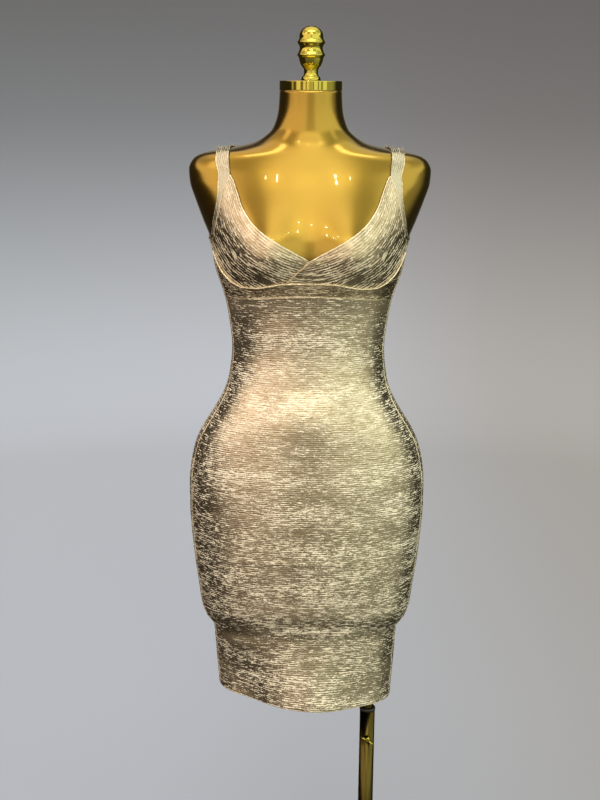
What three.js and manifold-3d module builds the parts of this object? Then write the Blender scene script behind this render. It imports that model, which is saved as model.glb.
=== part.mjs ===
// A sleeveless bodycon dress in foiled bandage knit, worn by a smooth display torso on a telescopic stand.
// Millimetres, +Z up; the front faces -Y, and +X is the wearer's left.
// The origin is on the floor, at the centre of the base plate.
import * as THREE from "three";
import { mergeVertices } from "three/addons/utils/BufferGeometryUtils.js";
import Module from "manifold-3d";

const wasm = await Module();
wasm.setup();

// Driving dimensions
const capLevel = 1450; // middle of the neck cap above the floor; every drop is measured down from here
const cloth = { clearance: 1, wall: 1.8, ribDepth: 0.5, seamGap: 0.3 };
const sideSeamAngle = 76.5; // degrees round from the centre front
const columnAngle = 9; // degrees between the columns of vertices round the body
const roundness = 2.25; // exponent of the body's sections; 2 is an ellipse
const waistDrop = 398;
const skirtLeavesAt = 860; // the drop at which the cloth parts from the torso's rounded foot

// Sections of the torso: half width, and depth in front of and behind the side line
const torsoSections = [
  { drop: 7, half: 47.5, front: 48, back: 48 },
  { drop: 33, half: 49, front: 49, back: 50 },
  { drop: 63, half: 57.5, front: 52, back: 56 },
  { drop: 74, half: 68.5, front: 54.5, back: 60 },
  { drop: 84, half: 85, front: 57, back: 63.5 },
  { drop: 94, half: 128, front: 60.5, back: 68 },
  { drop: 98, half: 152, front: 62, back: 70 },
  { drop: 103, half: 169, front: 64, back: 73 },
  { drop: 111, half: 179.5, front: 67, back: 77.5 },
  { drop: 125, half: 185, front: 72, back: 84.5 },
  { drop: 141, half: 184, front: 77, back: 90 },
  { drop: 171, half: 175, front: 85.5, back: 97 },
  { drop: 186, half: 169.5, front: 89, back: 99 },
  { drop: 202, half: 163.5, front: 92, back: 100 },
  { drop: 232, half: 151.5, front: 96, back: 99.5 },
  { drop: 248, half: 147.2, front: 96.5, back: 98.5 },
  { drop: 263, half: 145, front: 95.5, back: 97 },
  { drop: 279, half: 141.5, front: 93.5, back: 95 },
  { drop: 295, half: 136, front: 91, back: 93 },
  { drop: 310, half: 131, front: 88.5, back: 90.5 },
  { drop: 326, half: 126.5, front: 86.5, back: 88 },
  { drop: 350, half: 122, front: 84, back: 85.3 },
  { drop: 398, half: 117, front: 82, back: 83 },
  { drop: 446, half: 122, front: 87.3, back: 90.5 },
  { drop: 470, half: 129.5, front: 94, back: 97 },
  { drop: 505, half: 148.5, front: 102, back: 107.5 },
  { drop: 538, half: 168.5, front: 106, back: 117.5 },
  { drop: 558, half: 176.5, front: 107, back: 122.5 },
  { drop: 585, half: 182.5, front: 107.6, back: 127 },
  { drop: 618, half: 186, front: 108, back: 129 },
  { drop: 655, half: 186, front: 107.5, back: 127 },
  { drop: 700, half: 183.5, front: 106, back: 121 },
  { drop: 750, half: 178.7, front: 104.5, back: 114.5 },
  { drop: 800, half: 172.2, front: 102, back: 108.5 },
  { drop: 836, half: 167.2, front: 100, back: 104.5 },
  { drop: 850, half: 163.4, front: 97.5, back: 102 },
  { drop: 860, half: 157.5, front: 93, back: 97.5 },
  { drop: 867, half: 149.5, front: 86, back: 90.5 },
  { drop: 870, half: 140, front: 77, back: 81.5 },
];
const torsoBottom = torsoSections.at(-1).drop;

// The bust that the cups are cut for: two soft mounds that run into each other with no crease
const bust = { height: 28, apexX: 76, apexDrop: 243, spread: 64, above: 62, below: 40 };

// Sections of the skirt below the torso, measured on the outside of the cloth
const skirtSections = [
  { drop: 874, half: 153.5, front: 90, back: 95 },
  { drop: 886, half: 150.8, front: 87.5, back: 93 },
  { drop: 905, half: 148.5, front: 87.5, back: 92 },
  { drop: 930, half: 147, front: 88, back: 91 },
  { drop: 956, half: 145, front: 89.5, back: 90 },
  { drop: 980, half: 143.5, front: 91.5, back: 90 },
];
// The hem lies lower by its tilt at the wearer's left side, and is drawn up round its right side
const hem = { drop: skirtSections.at(-1).drop, tilt: 6.5, lift: 9, liftAngle: -92, liftSpan: 56 };

// Folds of the free skirt, at their full depth at the hem: out is positive
const skirtFolds = [
  { angle: 5, halfSpan: 30, depth: 8.5 },
  { angle: -43, halfSpan: 33, depth: -14 },
  { angle: 46, halfSpan: 32, depth: -3.5 },
  { angle: 138, halfSpan: 30, depth: -5 },
  { angle: 180, halfSpan: 28, depth: 4 },
  { angle: -136, halfSpan: 30, depth: -6 },
];

// Seams of the wearer's left front, as x from the centre front and drop; the right front mirrors them
const neckline = [
  { x: 120.4, drop: 135 },
  { x: 111, drop: 146 },
  { x: 103, drop: 165 },
  { x: 95.5, drop: 187 },
  { x: 84.5, drop: 203 },
  { x: 67, drop: 216 },
  { x: 45.5, drop: 228.5 },
  { x: 20, drop: 242 },
  { x: 0, drop: 252 },
];
const strapSeam = [
  { x: 124, drop: 133 },
  { x: 128, drop: 155 },
  { x: 132.5, drop: 178 },
  { x: 138, drop: 200 },
  { x: 142.8, drop: 220 },
];
const armholeEdge = [
  { x: 134.6, drop: 131 },
  { x: 135.2, drop: 155 },
  { x: 138.4, drop: 178 },
  { x: 142.4, drop: 200 },
  { x: 145.6, drop: 220 },
];
const underarm = { drop: 232, pipingDrop: 247 };
const cupSeam = [
  { x: 134.6, drop: 266 },
  { x: 125, drop: 280 },
  { x: 112, drop: 290.5 },
  { x: 96, drop: 296 },
  { x: 78, drop: 295.5 },
  { x: 55, drop: 291 },
  { x: 34, drop: 287 },
];
// Each cup's free centre edge lands past the centre front; the upper cup rises over the lower one with ease
const wrap = { x: 34, drop: 286.5, ease: 17 };
const bandSeam = { centreDrop: 306, sideDrop: 322, spread: 1.8 };
const backEdge = { sideDrop: 232, strapDrop: 204, centreDrop: 224, strapAngle: 134 };

// The straps, swept round the shoulder by rays from a line inside it.
// Turns are from straight forward, over the top; the strap drifts inwards down the back.
const shoulder = { pivotDrop: 140, frontTurn: 24, backTurn: 168, turns: 12, backDrift: 0.55, ease: 0.4 };
const strapTop = { inner: 120.8, outer: 139.4 };
const strapBack = { inner: 99, outer: 117 };

const piping = { radius: 1.3, sides: 6, steps: 52 };
const cupRibs = 10;
const strapRibs = 4;
const strapSteps = 6; // rows of vertices along the seam between a cup and its strap
const bandSteps = 4;
const lowerSeamSteps = 10;
const wrapSteps = 3;

// The neck cap and its turned finial
const neckCap = { radius: 48, thick: 14, chamfer: 0.8 };
const finialProfile = [
  { radius: 14.7, height: 0 },
  { radius: 14.9, height: 3.4 },
  { radius: 14, height: 5.8 },
  { radius: 11.4, height: 8.2 },
  { radius: 11, height: 17 },
  { radius: 14.4, height: 21 },
  { radius: 18.3, height: 30.6 },
  { radius: 21.4, height: 37.4 },
  { radius: 20, height: 41.6 },
  { radius: 17.5, height: 47.6 },
  { radius: 18.9, height: 52 },
  { radius: 21.4, height: 56.2 },
  { radius: 18.2, height: 67 },
  { radius: 15.9, height: 72.6 },
  { radius: 11.2, height: 77 },
  { radius: 5.4, height: 79.4 },
];
const finialHeight = 80;

// The stand: its pole stands under the wearer's left leg, away from the plate's centre
const poleX = 107;
const plate = { radius: 180, thick: 7, edge: 2.5 };
const socket = { flangeRadius: 34, flangeThick: 5, radius: 17.5, height: 48 };
const tube = { radius: 12.6, bore: 10, top: 425 };
const rod = { radius: 9.5, bottom: 215 };
const collar = { radius: 13.2, bore: 9.95, height: 5 };
const rodFlange = { radius: 30, thick: 4, hubRadius: 14.5, hubHeight: 24 };
const clamp = { level: 378, holeRadius: 3.4, shaftRadius: 3, hubRadius: 5.2, hubLength: 9 };
const wing = { reach: 10.5, radius: 5.2, thick: 3.2, splay: 20, turn: 32 };
const roundSides = 24;

const axes = [new THREE.Vector3(1, 0, 0), new THREE.Vector3(0, 1, 0), new THREE.Vector3(0, 0, 1)];
const radians = THREE.MathUtils.degToRad;
const smooth = THREE.MathUtils.smoothstep;
const mix = THREE.MathUtils.lerp;

// A table's named columns at a value of one of them, in straight steps between its rows
function tableAt(table, key, value) {
  let i = table.findIndex((row) => row[key] > value);
  if (i === -1) i = table.length - 1;
  const low = table[Math.max(i - 1, 0)];
  const high = table[Math.max(i, 1)];
  const share = (value - low[key]) / (high[key] - low[key]);
  const columns = Object.keys(low);
  return Object.fromEntries(columns.map((column) => [column, mix(low[column], high[column], share)]));
}

// How far the bust stands forward of the plain section at x and drop
function bustAt(x, drop, half) {
  const rise = (drop - bust.apexDrop) / (drop < bust.apexDrop ? bust.above : bust.below);
  const mound = (apex) => Math.exp(-(((x - apex) / bust.spread) ** 2));
  const fade = 1 - Math.min(Math.abs(x) / half, 1) ** 4;
  return bust.height * fade * Math.exp(-rise * rise) * (mound(bust.apexX) + mound(-bust.apexX));
}

// A point of a section, at an angle round from the centre front, moved out by an offset
function sectionPoint(section, angle, offset) {
  const turn = radians(angle);
  const half = section.half + offset;
  const x = half * Math.sin(turn);
  const depth = (1 - Math.abs(Math.sin(turn)) ** roundness) ** (1 / roundness);
  const inFront = Math.cos(turn) > 0;
  const y = inFront
    ? -(section.front + offset) * depth - bustAt(x, section.drop, half)
    : (section.back + offset) * depth;
  return new THREE.Vector3(x, y, capLevel - section.drop);
}

// The body point at an angle and drop, on the straight line between the sections above and below it
function bodyPoint(angle, drop, offset) {
  const below = torsoSections.findIndex((section) => section.drop > drop);
  const [high, low] = torsoSections.slice(below - 1, below + 1);
  const share = (drop - high.drop) / (low.drop - high.drop);
  return sectionPoint(high, angle, offset).lerp(sectionPoint(low, angle, offset), share);
}

// The angle at which the body is x wide at a drop
function angleAt(x, drop) {
  const share = x / tableAt(torsoSections, "drop", drop).half;
  return THREE.MathUtils.radToDeg(Math.asin(THREE.MathUtils.clamp(share, -1, 1)));
}

const frontPoint = (x, drop, offset) => bodyPoint(angleAt(x, drop), drop, offset);
const backPoint = (x, drop, offset) => bodyPoint(180 - angleAt(x, drop), drop, offset);

// A closed mesh from vertices and the faces that join them
function meshOf(points, faces) {
  const geometry = new THREE.BufferGeometry();
  geometry.setAttribute("position", new THREE.Float32BufferAttribute(points.flatMap((p) => p.toArray()), 3));
  geometry.setIndex(faces.flat());
  geometry.computeVertexNormals();
  return geometry;
}

// A cloth wall: pointAt(row, column, layer) gives its inner points at layer 0 and its outer ones at layer 1.
// Seen from outside, rows run down and columns run to the right.
function wallGeometry(rows, columns, pointAt) {
  const points = [];
  const faces = [];
  const id = (row, column, layer) => (layer * rows + row) * columns + column;
  for (let layer = 0; layer < 2; layer++) {
    for (let row = 0; row < rows; row++) {
      for (let column = 0; column < columns; column++) points.push(pointAt(row, column, layer));
    }
  }
  const quad = (a, b, c, d) => faces.push([a, b, c], [a, c, d]);
  for (let row = 0; row + 1 < rows; row++) {
    for (let column = 0; column + 1 < columns; column++) {
      quad(id(row, column, 1), id(row + 1, column, 1), id(row + 1, column + 1, 1), id(row, column + 1, 1));
      quad(id(row, column, 0), id(row, column + 1, 0), id(row + 1, column + 1, 0), id(row + 1, column, 0));
    }
  }
  const foot = rows - 1;
  const end = columns - 1;
  for (let row = 0; row < foot; row++) {
    quad(id(row, 0, 0), id(row + 1, 0, 0), id(row + 1, 0, 1), id(row, 0, 1));
    quad(id(row, end, 1), id(row + 1, end, 1), id(row + 1, end, 0), id(row, end, 0));
  }
  for (let column = 0; column < end; column++) {
    quad(id(0, column, 0), id(0, column, 1), id(0, column + 1, 1), id(0, column + 1, 0));
    quad(id(foot, column, 1), id(foot, column, 0), id(foot, column + 1, 0), id(foot, column + 1, 1));
  }
  return meshOf(points, faces);
}

// A solid lofted through rings of points, closed by a flat cap at each end; the rings run down
function loftGeometry(rings) {
  const sides = rings[0].length;
  const points = rings.flat();
  const sumOf = (ring) => ring.reduce((sum, point) => sum.add(point), new THREE.Vector3());
  const centreOf = (ring) => sumOf(ring).divideScalar(ring.length);
  const top = points.push(centreOf(rings[0])) - 1;
  const bottom = points.push(centreOf(rings.at(-1))) - 1;
  const faces = [];
  const foot = (rings.length - 1) * sides;
  for (let i = 0; i < sides; i++) {
    const next = (i + 1) % sides;
    for (let r = 0; r + 1 < rings.length; r++) {
      const high = r * sides;
      const low = high + sides;
      faces.push([high + i, low + i, low + next], [high + i, low + next, high + next]);
    }
    faces.push([top, i, next], [bottom, foot + next, foot + i]);
  }
  return meshOf(points, faces);
}

// A round piece turned about an upright axis; its profile starts and ends on the axis, or closes on itself
function turnedGeometry(profile) {
  const outline = profile.map(({ radius, height }) => new THREE.Vector2(radius, height));
  return new THREE.LatheGeometry(outline, roundSides).rotateX(Math.PI / 2);
}

// Boolean cuts and joins, on geometries with only their positions left
function solidOf(geometry) {
  const bare = new THREE.BufferGeometry().setAttribute("position", geometry.getAttribute("position"));
  if (geometry.index) bare.setIndex(geometry.index);
  const merged = mergeVertices(bare, 1e-4);
  return new wasm.Manifold(
    new wasm.Mesh({
      numProp: 3,
      vertProperties: new Float32Array(merged.attributes.position.array),
      triVerts: new Uint32Array(merged.index.array),
    }),
  );
}

function geometryOf(solid) {
  const mesh = solid.getMesh();
  const geometry = new THREE.BufferGeometry();
  geometry.setAttribute("position", new THREE.Float32BufferAttribute(mesh.vertProperties, 3));
  geometry.setIndex(Array.from(mesh.triVerts));
  geometry.computeVertexNormals();
  return geometry;
}

function finish(color, roughness, metalness) {
  return new THREE.MeshStandardMaterial({ color, roughness, metalness });
}

const foilKnit = finish(0x9c8a63, 0.5, 0.35);
const goldLacquer = finish(0xb8892a, 0.25, 0.8);
const goldPlate = finish(0xc9a63c, 0.12, 1);
const goldTube = finish(0x8a7430, 0.25, 0.9);
const blackPlastic = finish(0x121212, 0.5, 0);

function named(name, geometry, material) {
  const mesh = new THREE.Mesh(geometry, material);
  mesh.name = name;
  return mesh;
}

// The display torso, from the neck down to its flat bottom
function torso() {
  const sides = 360 / columnAngle;
  const rings = torsoSections.map((section) =>
    Array.from({ length: sides }, (_, i) => sectionPoint(section, sideSeamAngle + i * columnAngle, 0)),
  );
  return loftGeometry(rings);
}

// The angles of a panel's columns; the outer ones stand half a seam gap in from the seams
function panelAngles(from, to) {
  const count = Math.round((to - from) / columnAngle);
  const waist = tableAt(torsoSections, "drop", waistDrop).half;
  const inset = THREE.MathUtils.radToDeg(cloth.seamGap / 2 / waist);
  return Array.from({ length: count + 1 }, (_, i) => {
    if (i === 0) return from + inset;
    return i === count ? to - inset : from + i * columnAngle;
  });
}

// The cloth's offset from the torso, in its inner and outer layer
const layerOffset = (layer) => cloth.clearance + layer * cloth.wall;

// The offset of a ribbed wall: every other line of its outer layer stands back in a groove
const ribOffset = (layer, line) => layerOffset(layer) - (line % 2 ? 0 : layer * cloth.ribDepth);

const turnBetween = (a, b) => Math.abs(((((a - b) % 360) + 540) % 360) - 180);

// A soft swell round the body: 1 at its middle and 0 from its half span on
function swell(angle, middle, halfSpan) {
  const off = Math.min(turnBetween(angle, middle) / halfSpan, 1);
  return (1 + Math.cos(Math.PI * off)) / 2;
}

// How far the skirt's folds move its wall out; their share grows from 0 at the torso to 1 at the hem
function foldDepth(angle, share) {
  const depths = skirtFolds.map((fold) => fold.depth * swell(angle, fold.angle, fold.halfSpan));
  return share * depths.reduce((sum, depth) => sum + depth, 0);
}

// A point of the skirt's wall below the torso's edge; the last row is the hem
function skirtPoint(angle, section, layer) {
  const share = smooth(section.drop, skirtSections[0].drop, hem.drop);
  const offset = (layer - 1) * cloth.wall + foldDepth(angle, share);
  const point = sectionPoint(section, angle, offset);
  const lift = hem.lift * swell(angle, hem.liftAngle, hem.liftSpan);
  point.z += share * (lift - hem.tilt * Math.sin(radians(angle)));
  return point;
}

// A body panel from its top edge to the hem; its second row is a section well below the top edge
const rowEase = 4;

function bodyPanel(from, to, topDrop, firstDrop) {
  const angles = panelAngles(from, to);
  const onTorso = torsoSections.filter(({ drop }) => drop > firstDrop && drop <= skirtLeavesAt);
  const rows = 1 + onTorso.length + skirtSections.length;
  return wallGeometry(rows, angles.length, (row, column, layer) => {
    const angle = angles[column];
    if (row === 0) return bodyPoint(angle, topDrop(angle), layerOffset(layer));
    if (row <= onTorso.length) return sectionPoint(onTorso[row - 1], angle, layerOffset(layer));
    return skirtPoint(angle, skirtSections[row - 1 - onTorso.length], layer);
  });
}

// The seam under the band, lower at the sides
function bandSeamDrop(angle) {
  const share = (1 - Math.cos(radians(angle * bandSeam.spread))) / 2;
  return mix(bandSeam.centreDrop, bandSeam.sideDrop, share);
}

function frontPanel() {
  return bodyPanel(-sideSeamAngle, sideSeamAngle, bandSeamDrop, bandSeam.sideDrop + rowEase);
}

// The top edge of the back: from the underarm up to the strap, and down again to the centre back
function backEdgeDrop(angle) {
  const off = turnBetween(angle, 180);
  const toStrap = 180 - backEdge.strapAngle;
  if (off < toStrap) return mix(backEdge.centreDrop, backEdge.strapDrop, smooth(off, 0, toStrap));
  return mix(backEdge.strapDrop, backEdge.sideDrop, smooth(off, toStrap, 180 - sideSeamAngle));
}

function backPanel() {
  return bodyPanel(sideSeamAngle, 360 - sideSeamAngle, backEdgeDrop, backEdge.sideDrop + rowEase);
}

// Curves and seams of the left front, as points of x and drop
const curveOf = (rows) => new THREE.SplineCurve(rows.map(({ x, drop }) => new THREE.Vector2(x, drop)));
const sideShare = Math.sin(radians(sideSeamAngle));
const sideX = (drop) => tableAt(torsoSections, "drop", drop).half * sideShare;
const sidePoint = (drop) => new THREE.Vector2(sideX(drop) - cloth.seamGap / 2, drop);
const necklineCurve = curveOf(neckline);
const strapDrops = Array.from({ length: strapSteps + 1 }, (_, i) =>
  mix(strapSeam[0].drop, strapSeam.at(-1).drop, i / strapSteps),
);
const pipingEnd = { x: sideX(underarm.pipingDrop), drop: underarm.pipingDrop };
const lowerSeam = curveOf([pipingEnd, ...cupSeam]).getSpacedPoints(lowerSeamSteps);
const seamEase = new THREE.Vector2(0, cloth.seamGap);

// The outer and lower edge of a cup, from the strap's tip to its free centre edge
function cupEdge() {
  const alongStrap = strapDrops.map(
    (drop) => new THREE.Vector2(tableAt(strapSeam, "drop", drop).x - cloth.seamGap / 2, drop),
  );
  const alongSide = [sidePoint(underarm.drop), sidePoint(underarm.pipingDrop - 2 * cloth.seamGap)];
  const alongBand = lowerSeam.slice(1).map((point) => point.clone().sub(seamEase));
  const underWrap = Array.from({ length: wrapSteps }, (_, i) =>
    new THREE.Vector2(mix(wrap.x, -wrap.x, (i + 1) / wrapSteps), wrap.drop).sub(seamEase),
  );
  return [...alongStrap, ...alongSide, ...alongBand, ...underWrap];
}

// How far the wearer's left cup is lifted where it lies over the right one's free edge
function wrapLift(x, drop) {
  const past = (drop - neckline.at(-1).drop - x) / Math.SQRT2;
  return (cloth.wall + cloth.seamGap) * smooth(past, -wrap.ease, -2 * cloth.wall);
}

// One cup, ruled in ribs between its neckline and its outer and lower edge; side is 1 for the wearer's left
function cup(side) {
  const edge = cupEdge();
  const runs = edge.map((point, i) => (i ? point.distanceTo(edge[i - 1]) : 0));
  const total = runs.reduce((sum, run) => sum + run, 0);
  const shares = runs.map((_, i) => runs.slice(0, i + 1).reduce((sum, run) => sum + run, 0) / total);
  const steps = 2 * cupRibs;
  return wallGeometry(steps + 1, edge.length, (row, column, layer) => {
    const i = side > 0 ? edge.length - 1 - column : column;
    const { x, y: drop } = necklineCurve.getPointAt(Math.min(shares[i], 1)).lerp(edge[i], row / steps);
    const lift = side > 0 ? wrapLift(x, drop) : 0;
    return frontPoint(side * x, drop, ribOffset(layer, row) + lift);
  });
}

// The shaped band between the cups and the front panel
function underbustBand() {
  const left = lowerSeam.map((point) => point.clone().add(seamEase));
  left[0].x = sideX(left[0].y) - cloth.seamGap / 2;
  const centre = new THREE.Vector2(0, wrap.drop).add(seamEase);
  const right = left.map(({ x, y }) => new THREE.Vector2(-x, y));
  const top = [...right, centre, ...left.reverse()];
  return wallGeometry(bandSteps + 1, top.length, (row, column, layer) => {
    const { x, y: topDrop } = top[column];
    const angle = angleAt(x, topDrop);
    const drop = mix(topDrop, bandSeamDrop(angle) - cloth.seamGap, row / bandSteps);
    return bodyPoint(angle, drop, layerOffset(layer));
  });
}

// The rolled piping on the seam under the cups, from side seam to side seam
function underbustPiping() {
  const left = lowerSeam.map(({ x, y }) => ({ x, drop: y }));
  const right = left.map(({ x, drop }) => ({ x: -x, drop })).reverse();
  const seam = [...left, { x: 0, drop: wrap.drop }, ...right];
  const points = seam.map(({ x, drop }) => {
    const overEnd = smooth(-x, wrap.x, wrap.x + wrap.ease);
    const lift = wrapLift(x, drop) * (1 - overEnd);
    return frontPoint(x, drop, layerOffset(1) + cloth.seamGap + piping.radius + lift);
  });
  const section = new THREE.Shape(
    Array.from({ length: piping.sides }, (_, i) => {
      const turn = (i / piping.sides) * 2 * Math.PI;
      return new THREE.Vector2(piping.radius * Math.cos(turn), piping.radius * Math.sin(turn));
    }),
  );
  return new THREE.ExtrudeGeometry(section, {
    steps: piping.steps,
    bevelEnabled: false,
    extrudePath: new THREE.CatmullRomCurve3(points),
  });
}

// The torso's level function at a point: under 1 inside, 1 on the surface
function torsoLevel({ x, y, z }) {
  const section = tableAt(torsoSections, "drop", capLevel - z);
  const across = Math.abs(x) / section.half;
  const forward = -y - bustAt(x, section.drop, section.half);
  const depth = y > 0 ? y / section.back : forward / section.front;
  return across ** roundness + Math.max(depth, 0) ** roundness;
}

// The point where a ray from the shoulder's pivot line leaves the torso, moved out square to the surface
function shoulderPoint(x, turn, offset) {
  const origin = new THREE.Vector3(x, 0, capLevel - shoulder.pivotDrop);
  const way = new THREE.Vector3(0, -Math.cos(radians(turn)), Math.sin(radians(turn)));
  let low = 0;
  let high = 150;
  for (let i = 0; i < 40; i++) {
    const reach = (low + high) / 2;
    if (torsoLevel(origin.clone().addScaledVector(way, reach)) < 1) low = reach;
    else high = reach;
  }
  const hit = origin.addScaledVector(way, low);
  const slope = (axis) => torsoLevel(hit.clone().add(axis)) - torsoLevel(hit.clone().sub(axis));
  const outward = new THREE.Vector3(...axes.map(slope)).normalize();
  return hit.addScaledVector(outward, offset);
}

// One strap: up along the armhole, over the shoulder and down to the back's edge
function strap(side) {
  const backEnd = backEdge.strapDrop - cloth.seamGap;
  const backRows = [0, 1, 2, 3].map((i) => mix(backEnd, shoulder.pivotDrop, i / 3));
  const turnRows = Array.from({ length: shoulder.turns }, (_, i) =>
    mix(shoulder.backTurn, shoulder.frontTurn, i / (shoulder.turns - 1)),
  );
  const columns = 2 * strapRibs + 1;
  const rows = backRows.length + turnRows.length + strapDrops.length;
  return wallGeometry(rows, columns, (row, column, layer) => {
    const share = side > 0 ? column / (columns - 1) : 1 - column / (columns - 1);
    const offset = ribOffset(layer, column);
    if (row >= rows - strapDrops.length) {
      const drop = strapDrops[row - (rows - strapDrops.length)];
      const inner = tableAt(strapSeam, "drop", drop).x + cloth.seamGap / 2;
      return frontPoint(side * mix(inner, tableAt(armholeEdge, "drop", drop).x, share), drop, offset);
    }
    if (row >= backRows.length) {
      const turn = turnRows[row - backRows.length];
      const toBack = smooth(turn, 90, shoulder.backTurn) * shoulder.backDrift;
      const inner = mix(strapTop.inner, strapBack.inner, toBack);
      const outer = mix(strapTop.outer, strapBack.outer, toBack);
      return shoulderPoint(side * mix(inner, outer, share), turn, offset + shoulder.ease);
    }
    const drift = mix(1, shoulder.backDrift, row / backRows.length);
    const inner = mix(strapTop.inner, strapBack.inner, drift);
    const outer = mix(strapTop.outer, strapBack.outer, drift);
    return backPoint(side * mix(inner, outer, share), backRows[row], offset);
  });
}

// The neck cap, a turned disc with chamfered rims
function capGeometry() {
  const { radius, thick, chamfer } = neckCap;
  return turnedGeometry([
    { radius: 0, height: 0 },
    { radius: radius - chamfer, height: 0 },
    { radius, height: chamfer },
    { radius, height: thick - chamfer },
    { radius: radius - chamfer, height: thick },
    { radius: 0, height: thick },
  ]);
}

const finial = () =>
  turnedGeometry([{ radius: 0, height: 0 }, ...finialProfile, { radius: 0, height: finialHeight }]);

// A ring or tube with a bore
function ringGeometry(radius, bore, height) {
  return turnedGeometry([
    { radius: bore, height: 0 },
    { radius, height: 0 },
    { radius, height },
    { radius: bore, height },
    { radius: bore, height: 0 },
  ]);
}

function rodGeometry() {
  const length = capLevel - torsoBottom - rodFlange.thick - rod.bottom;
  return new THREE.CylinderGeometry(rod.radius, rod.radius, length, roundSides)
    .rotateX(Math.PI / 2)
    .translate(0, 0, length / 2);
}

// The flange under the torso, with the hub that holds the rod
function rodFlangeGeometry() {
  const { radius, thick, hubRadius, hubHeight } = rodFlange;
  const bore = rod.radius + cloth.seamGap;
  return turnedGeometry([
    { radius: 0, height: 0 },
    { radius: 0, height: -thick },
    { radius: bore, height: -thick },
    { radius: bore, height: -hubHeight },
    { radius: hubRadius, height: -hubHeight },
    { radius: hubRadius, height: -thick },
    { radius, height: -thick },
    { radius, height: 0 },
    { radius: 0, height: 0 },
  ]);
}

// The stand's outer tube, with the clamp screw's hole in its front wall
function tubeGeometry() {
  const height = tube.top - plate.thick;
  const hole = new THREE.CylinderGeometry(clamp.holeRadius, clamp.holeRadius, 2 * tube.radius, 16).translate(
    0,
    -tube.radius - 0.5,
    clamp.level - plate.thick,
  );
  return geometryOf(solidOf(ringGeometry(tube.radius, tube.bore, height)).subtract(solidOf(hole)));
}

function plateGeometry() {
  const { radius, thick, edge } = plate;
  return turnedGeometry([
    { radius: 0, height: 0 },
    { radius: radius - edge / 2, height: 0 },
    { radius, height: edge },
    { radius: radius - edge, height: thick },
    { radius: 0, height: thick },
  ]);
}

// The socket that stands on the plate round the tube's foot
function socketGeometry() {
  const { flangeRadius, flangeThick, radius, height } = socket;
  const bore = tube.radius + cloth.seamGap;
  return turnedGeometry([
    { radius: bore, height: 0 },
    { radius: flangeRadius, height: 0 },
    { radius: flangeRadius, height: flangeThick - 1.5 },
    { radius: flangeRadius - 2, height: flangeThick },
    { radius, height: flangeThick + 3 },
    { radius, height: height - 2 },
    { radius: radius - 1.5, height },
    { radius: bore, height },
    { radius: bore, height: 0 },
  ]);
}

// The wing screw: a shaft through the tube's wall, a hub and two splayed wings, along -Y from the pole's axis
function clampGeometry() {
  const inner = tube.bore + cloth.seamGap;
  const outer = tube.radius + cloth.seamGap;
  const along = (radius, from, to) =>
    new THREE.CylinderGeometry(radius, radius, to - from, 16).translate(0, -(from + to) / 2, 0);
  const shaft = solidOf(along(clamp.shaftRadius, inner, outer + clamp.hubLength / 2));
  const hub = solidOf(along(clamp.hubRadius, outer, outer + clamp.hubLength));
  const wings = [-1, 1].map((way) => {
    const lobe = new THREE.CylinderGeometry(wing.radius, wing.radius, wing.thick, 16)
      .rotateX(Math.PI / 2)
      .scale(1.25, 1, 1)
      .translate(way * (wing.reach / 2 + wing.radius / 2), 0, 0)
      .rotateZ(-way * radians(wing.splay))
      .translate(0, -(outer + clamp.hubLength * 0.6), 0);
    return solidOf(lobe);
  });
  const whole = wings.reduce((sum, lobe) => sum.add(lobe), shaft.add(hub));
  return geometryOf(whole).rotateY(radians(wing.turn));
}

const dress = new THREE.Group();
dress.add(
  named("front_panel", frontPanel(), foilKnit),
  named("back_panel", backPanel(), foilKnit),
  named("underbust_band", underbustBand(), foilKnit),
  named("cup_right", cup(-1), foilKnit),
  named("cup_left", cup(1), foilKnit),
  named("strap_right", strap(-1), foilKnit),
  named("strap_left", strap(1), foilKnit),
  named("underbust_piping", underbustPiping(), foilKnit),
);

const form = new THREE.Group();
const capMesh = named("neck_cap", capGeometry(), goldPlate);
capMesh.position.setZ(capLevel - neckCap.thick / 2);
const finialMesh = named("finial", finial(), goldPlate);
finialMesh.position.setZ(capLevel + neckCap.thick / 2);
const flangeMesh = named("rod_flange", rodFlangeGeometry(), goldTube);
flangeMesh.position.set(poleX, 0, capLevel - torsoBottom);
form.add(named("torso", torso(), goldLacquer), capMesh, finialMesh, flangeMesh);

const pole = new THREE.Group();
pole.position.setX(poleX);
const rodMesh = named("lift_rod", rodGeometry(), goldTube);
rodMesh.position.setZ(rod.bottom - cloth.seamGap);
const collarRing = ringGeometry(collar.radius, collar.bore, collar.height);
const collarMesh = named("tube_collar", collarRing, blackPlastic);
collarMesh.position.setZ(tube.top);
const tubeMesh = named("stand_tube", tubeGeometry(), goldTube);
tubeMesh.position.setZ(plate.thick);
const socketMesh = named("base_socket", socketGeometry(), goldTube);
socketMesh.position.setZ(plate.thick);
const clampMesh = named("clamp_screw", clampGeometry(), goldPlate);
clampMesh.position.setZ(clamp.level);
pole.add(rodMesh, collarMesh, tubeMesh, socketMesh, clampMesh);

const model = new THREE.Group();
model.add(dress, form, pole, named("base_plate", plateGeometry(), goldTube));

export default model;
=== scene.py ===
"""The looks of a foiled bandage-knit dress on a gold dress form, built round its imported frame."""
import math

import bpy
import numpy as np
from mathutils import Matrix, Vector


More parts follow.
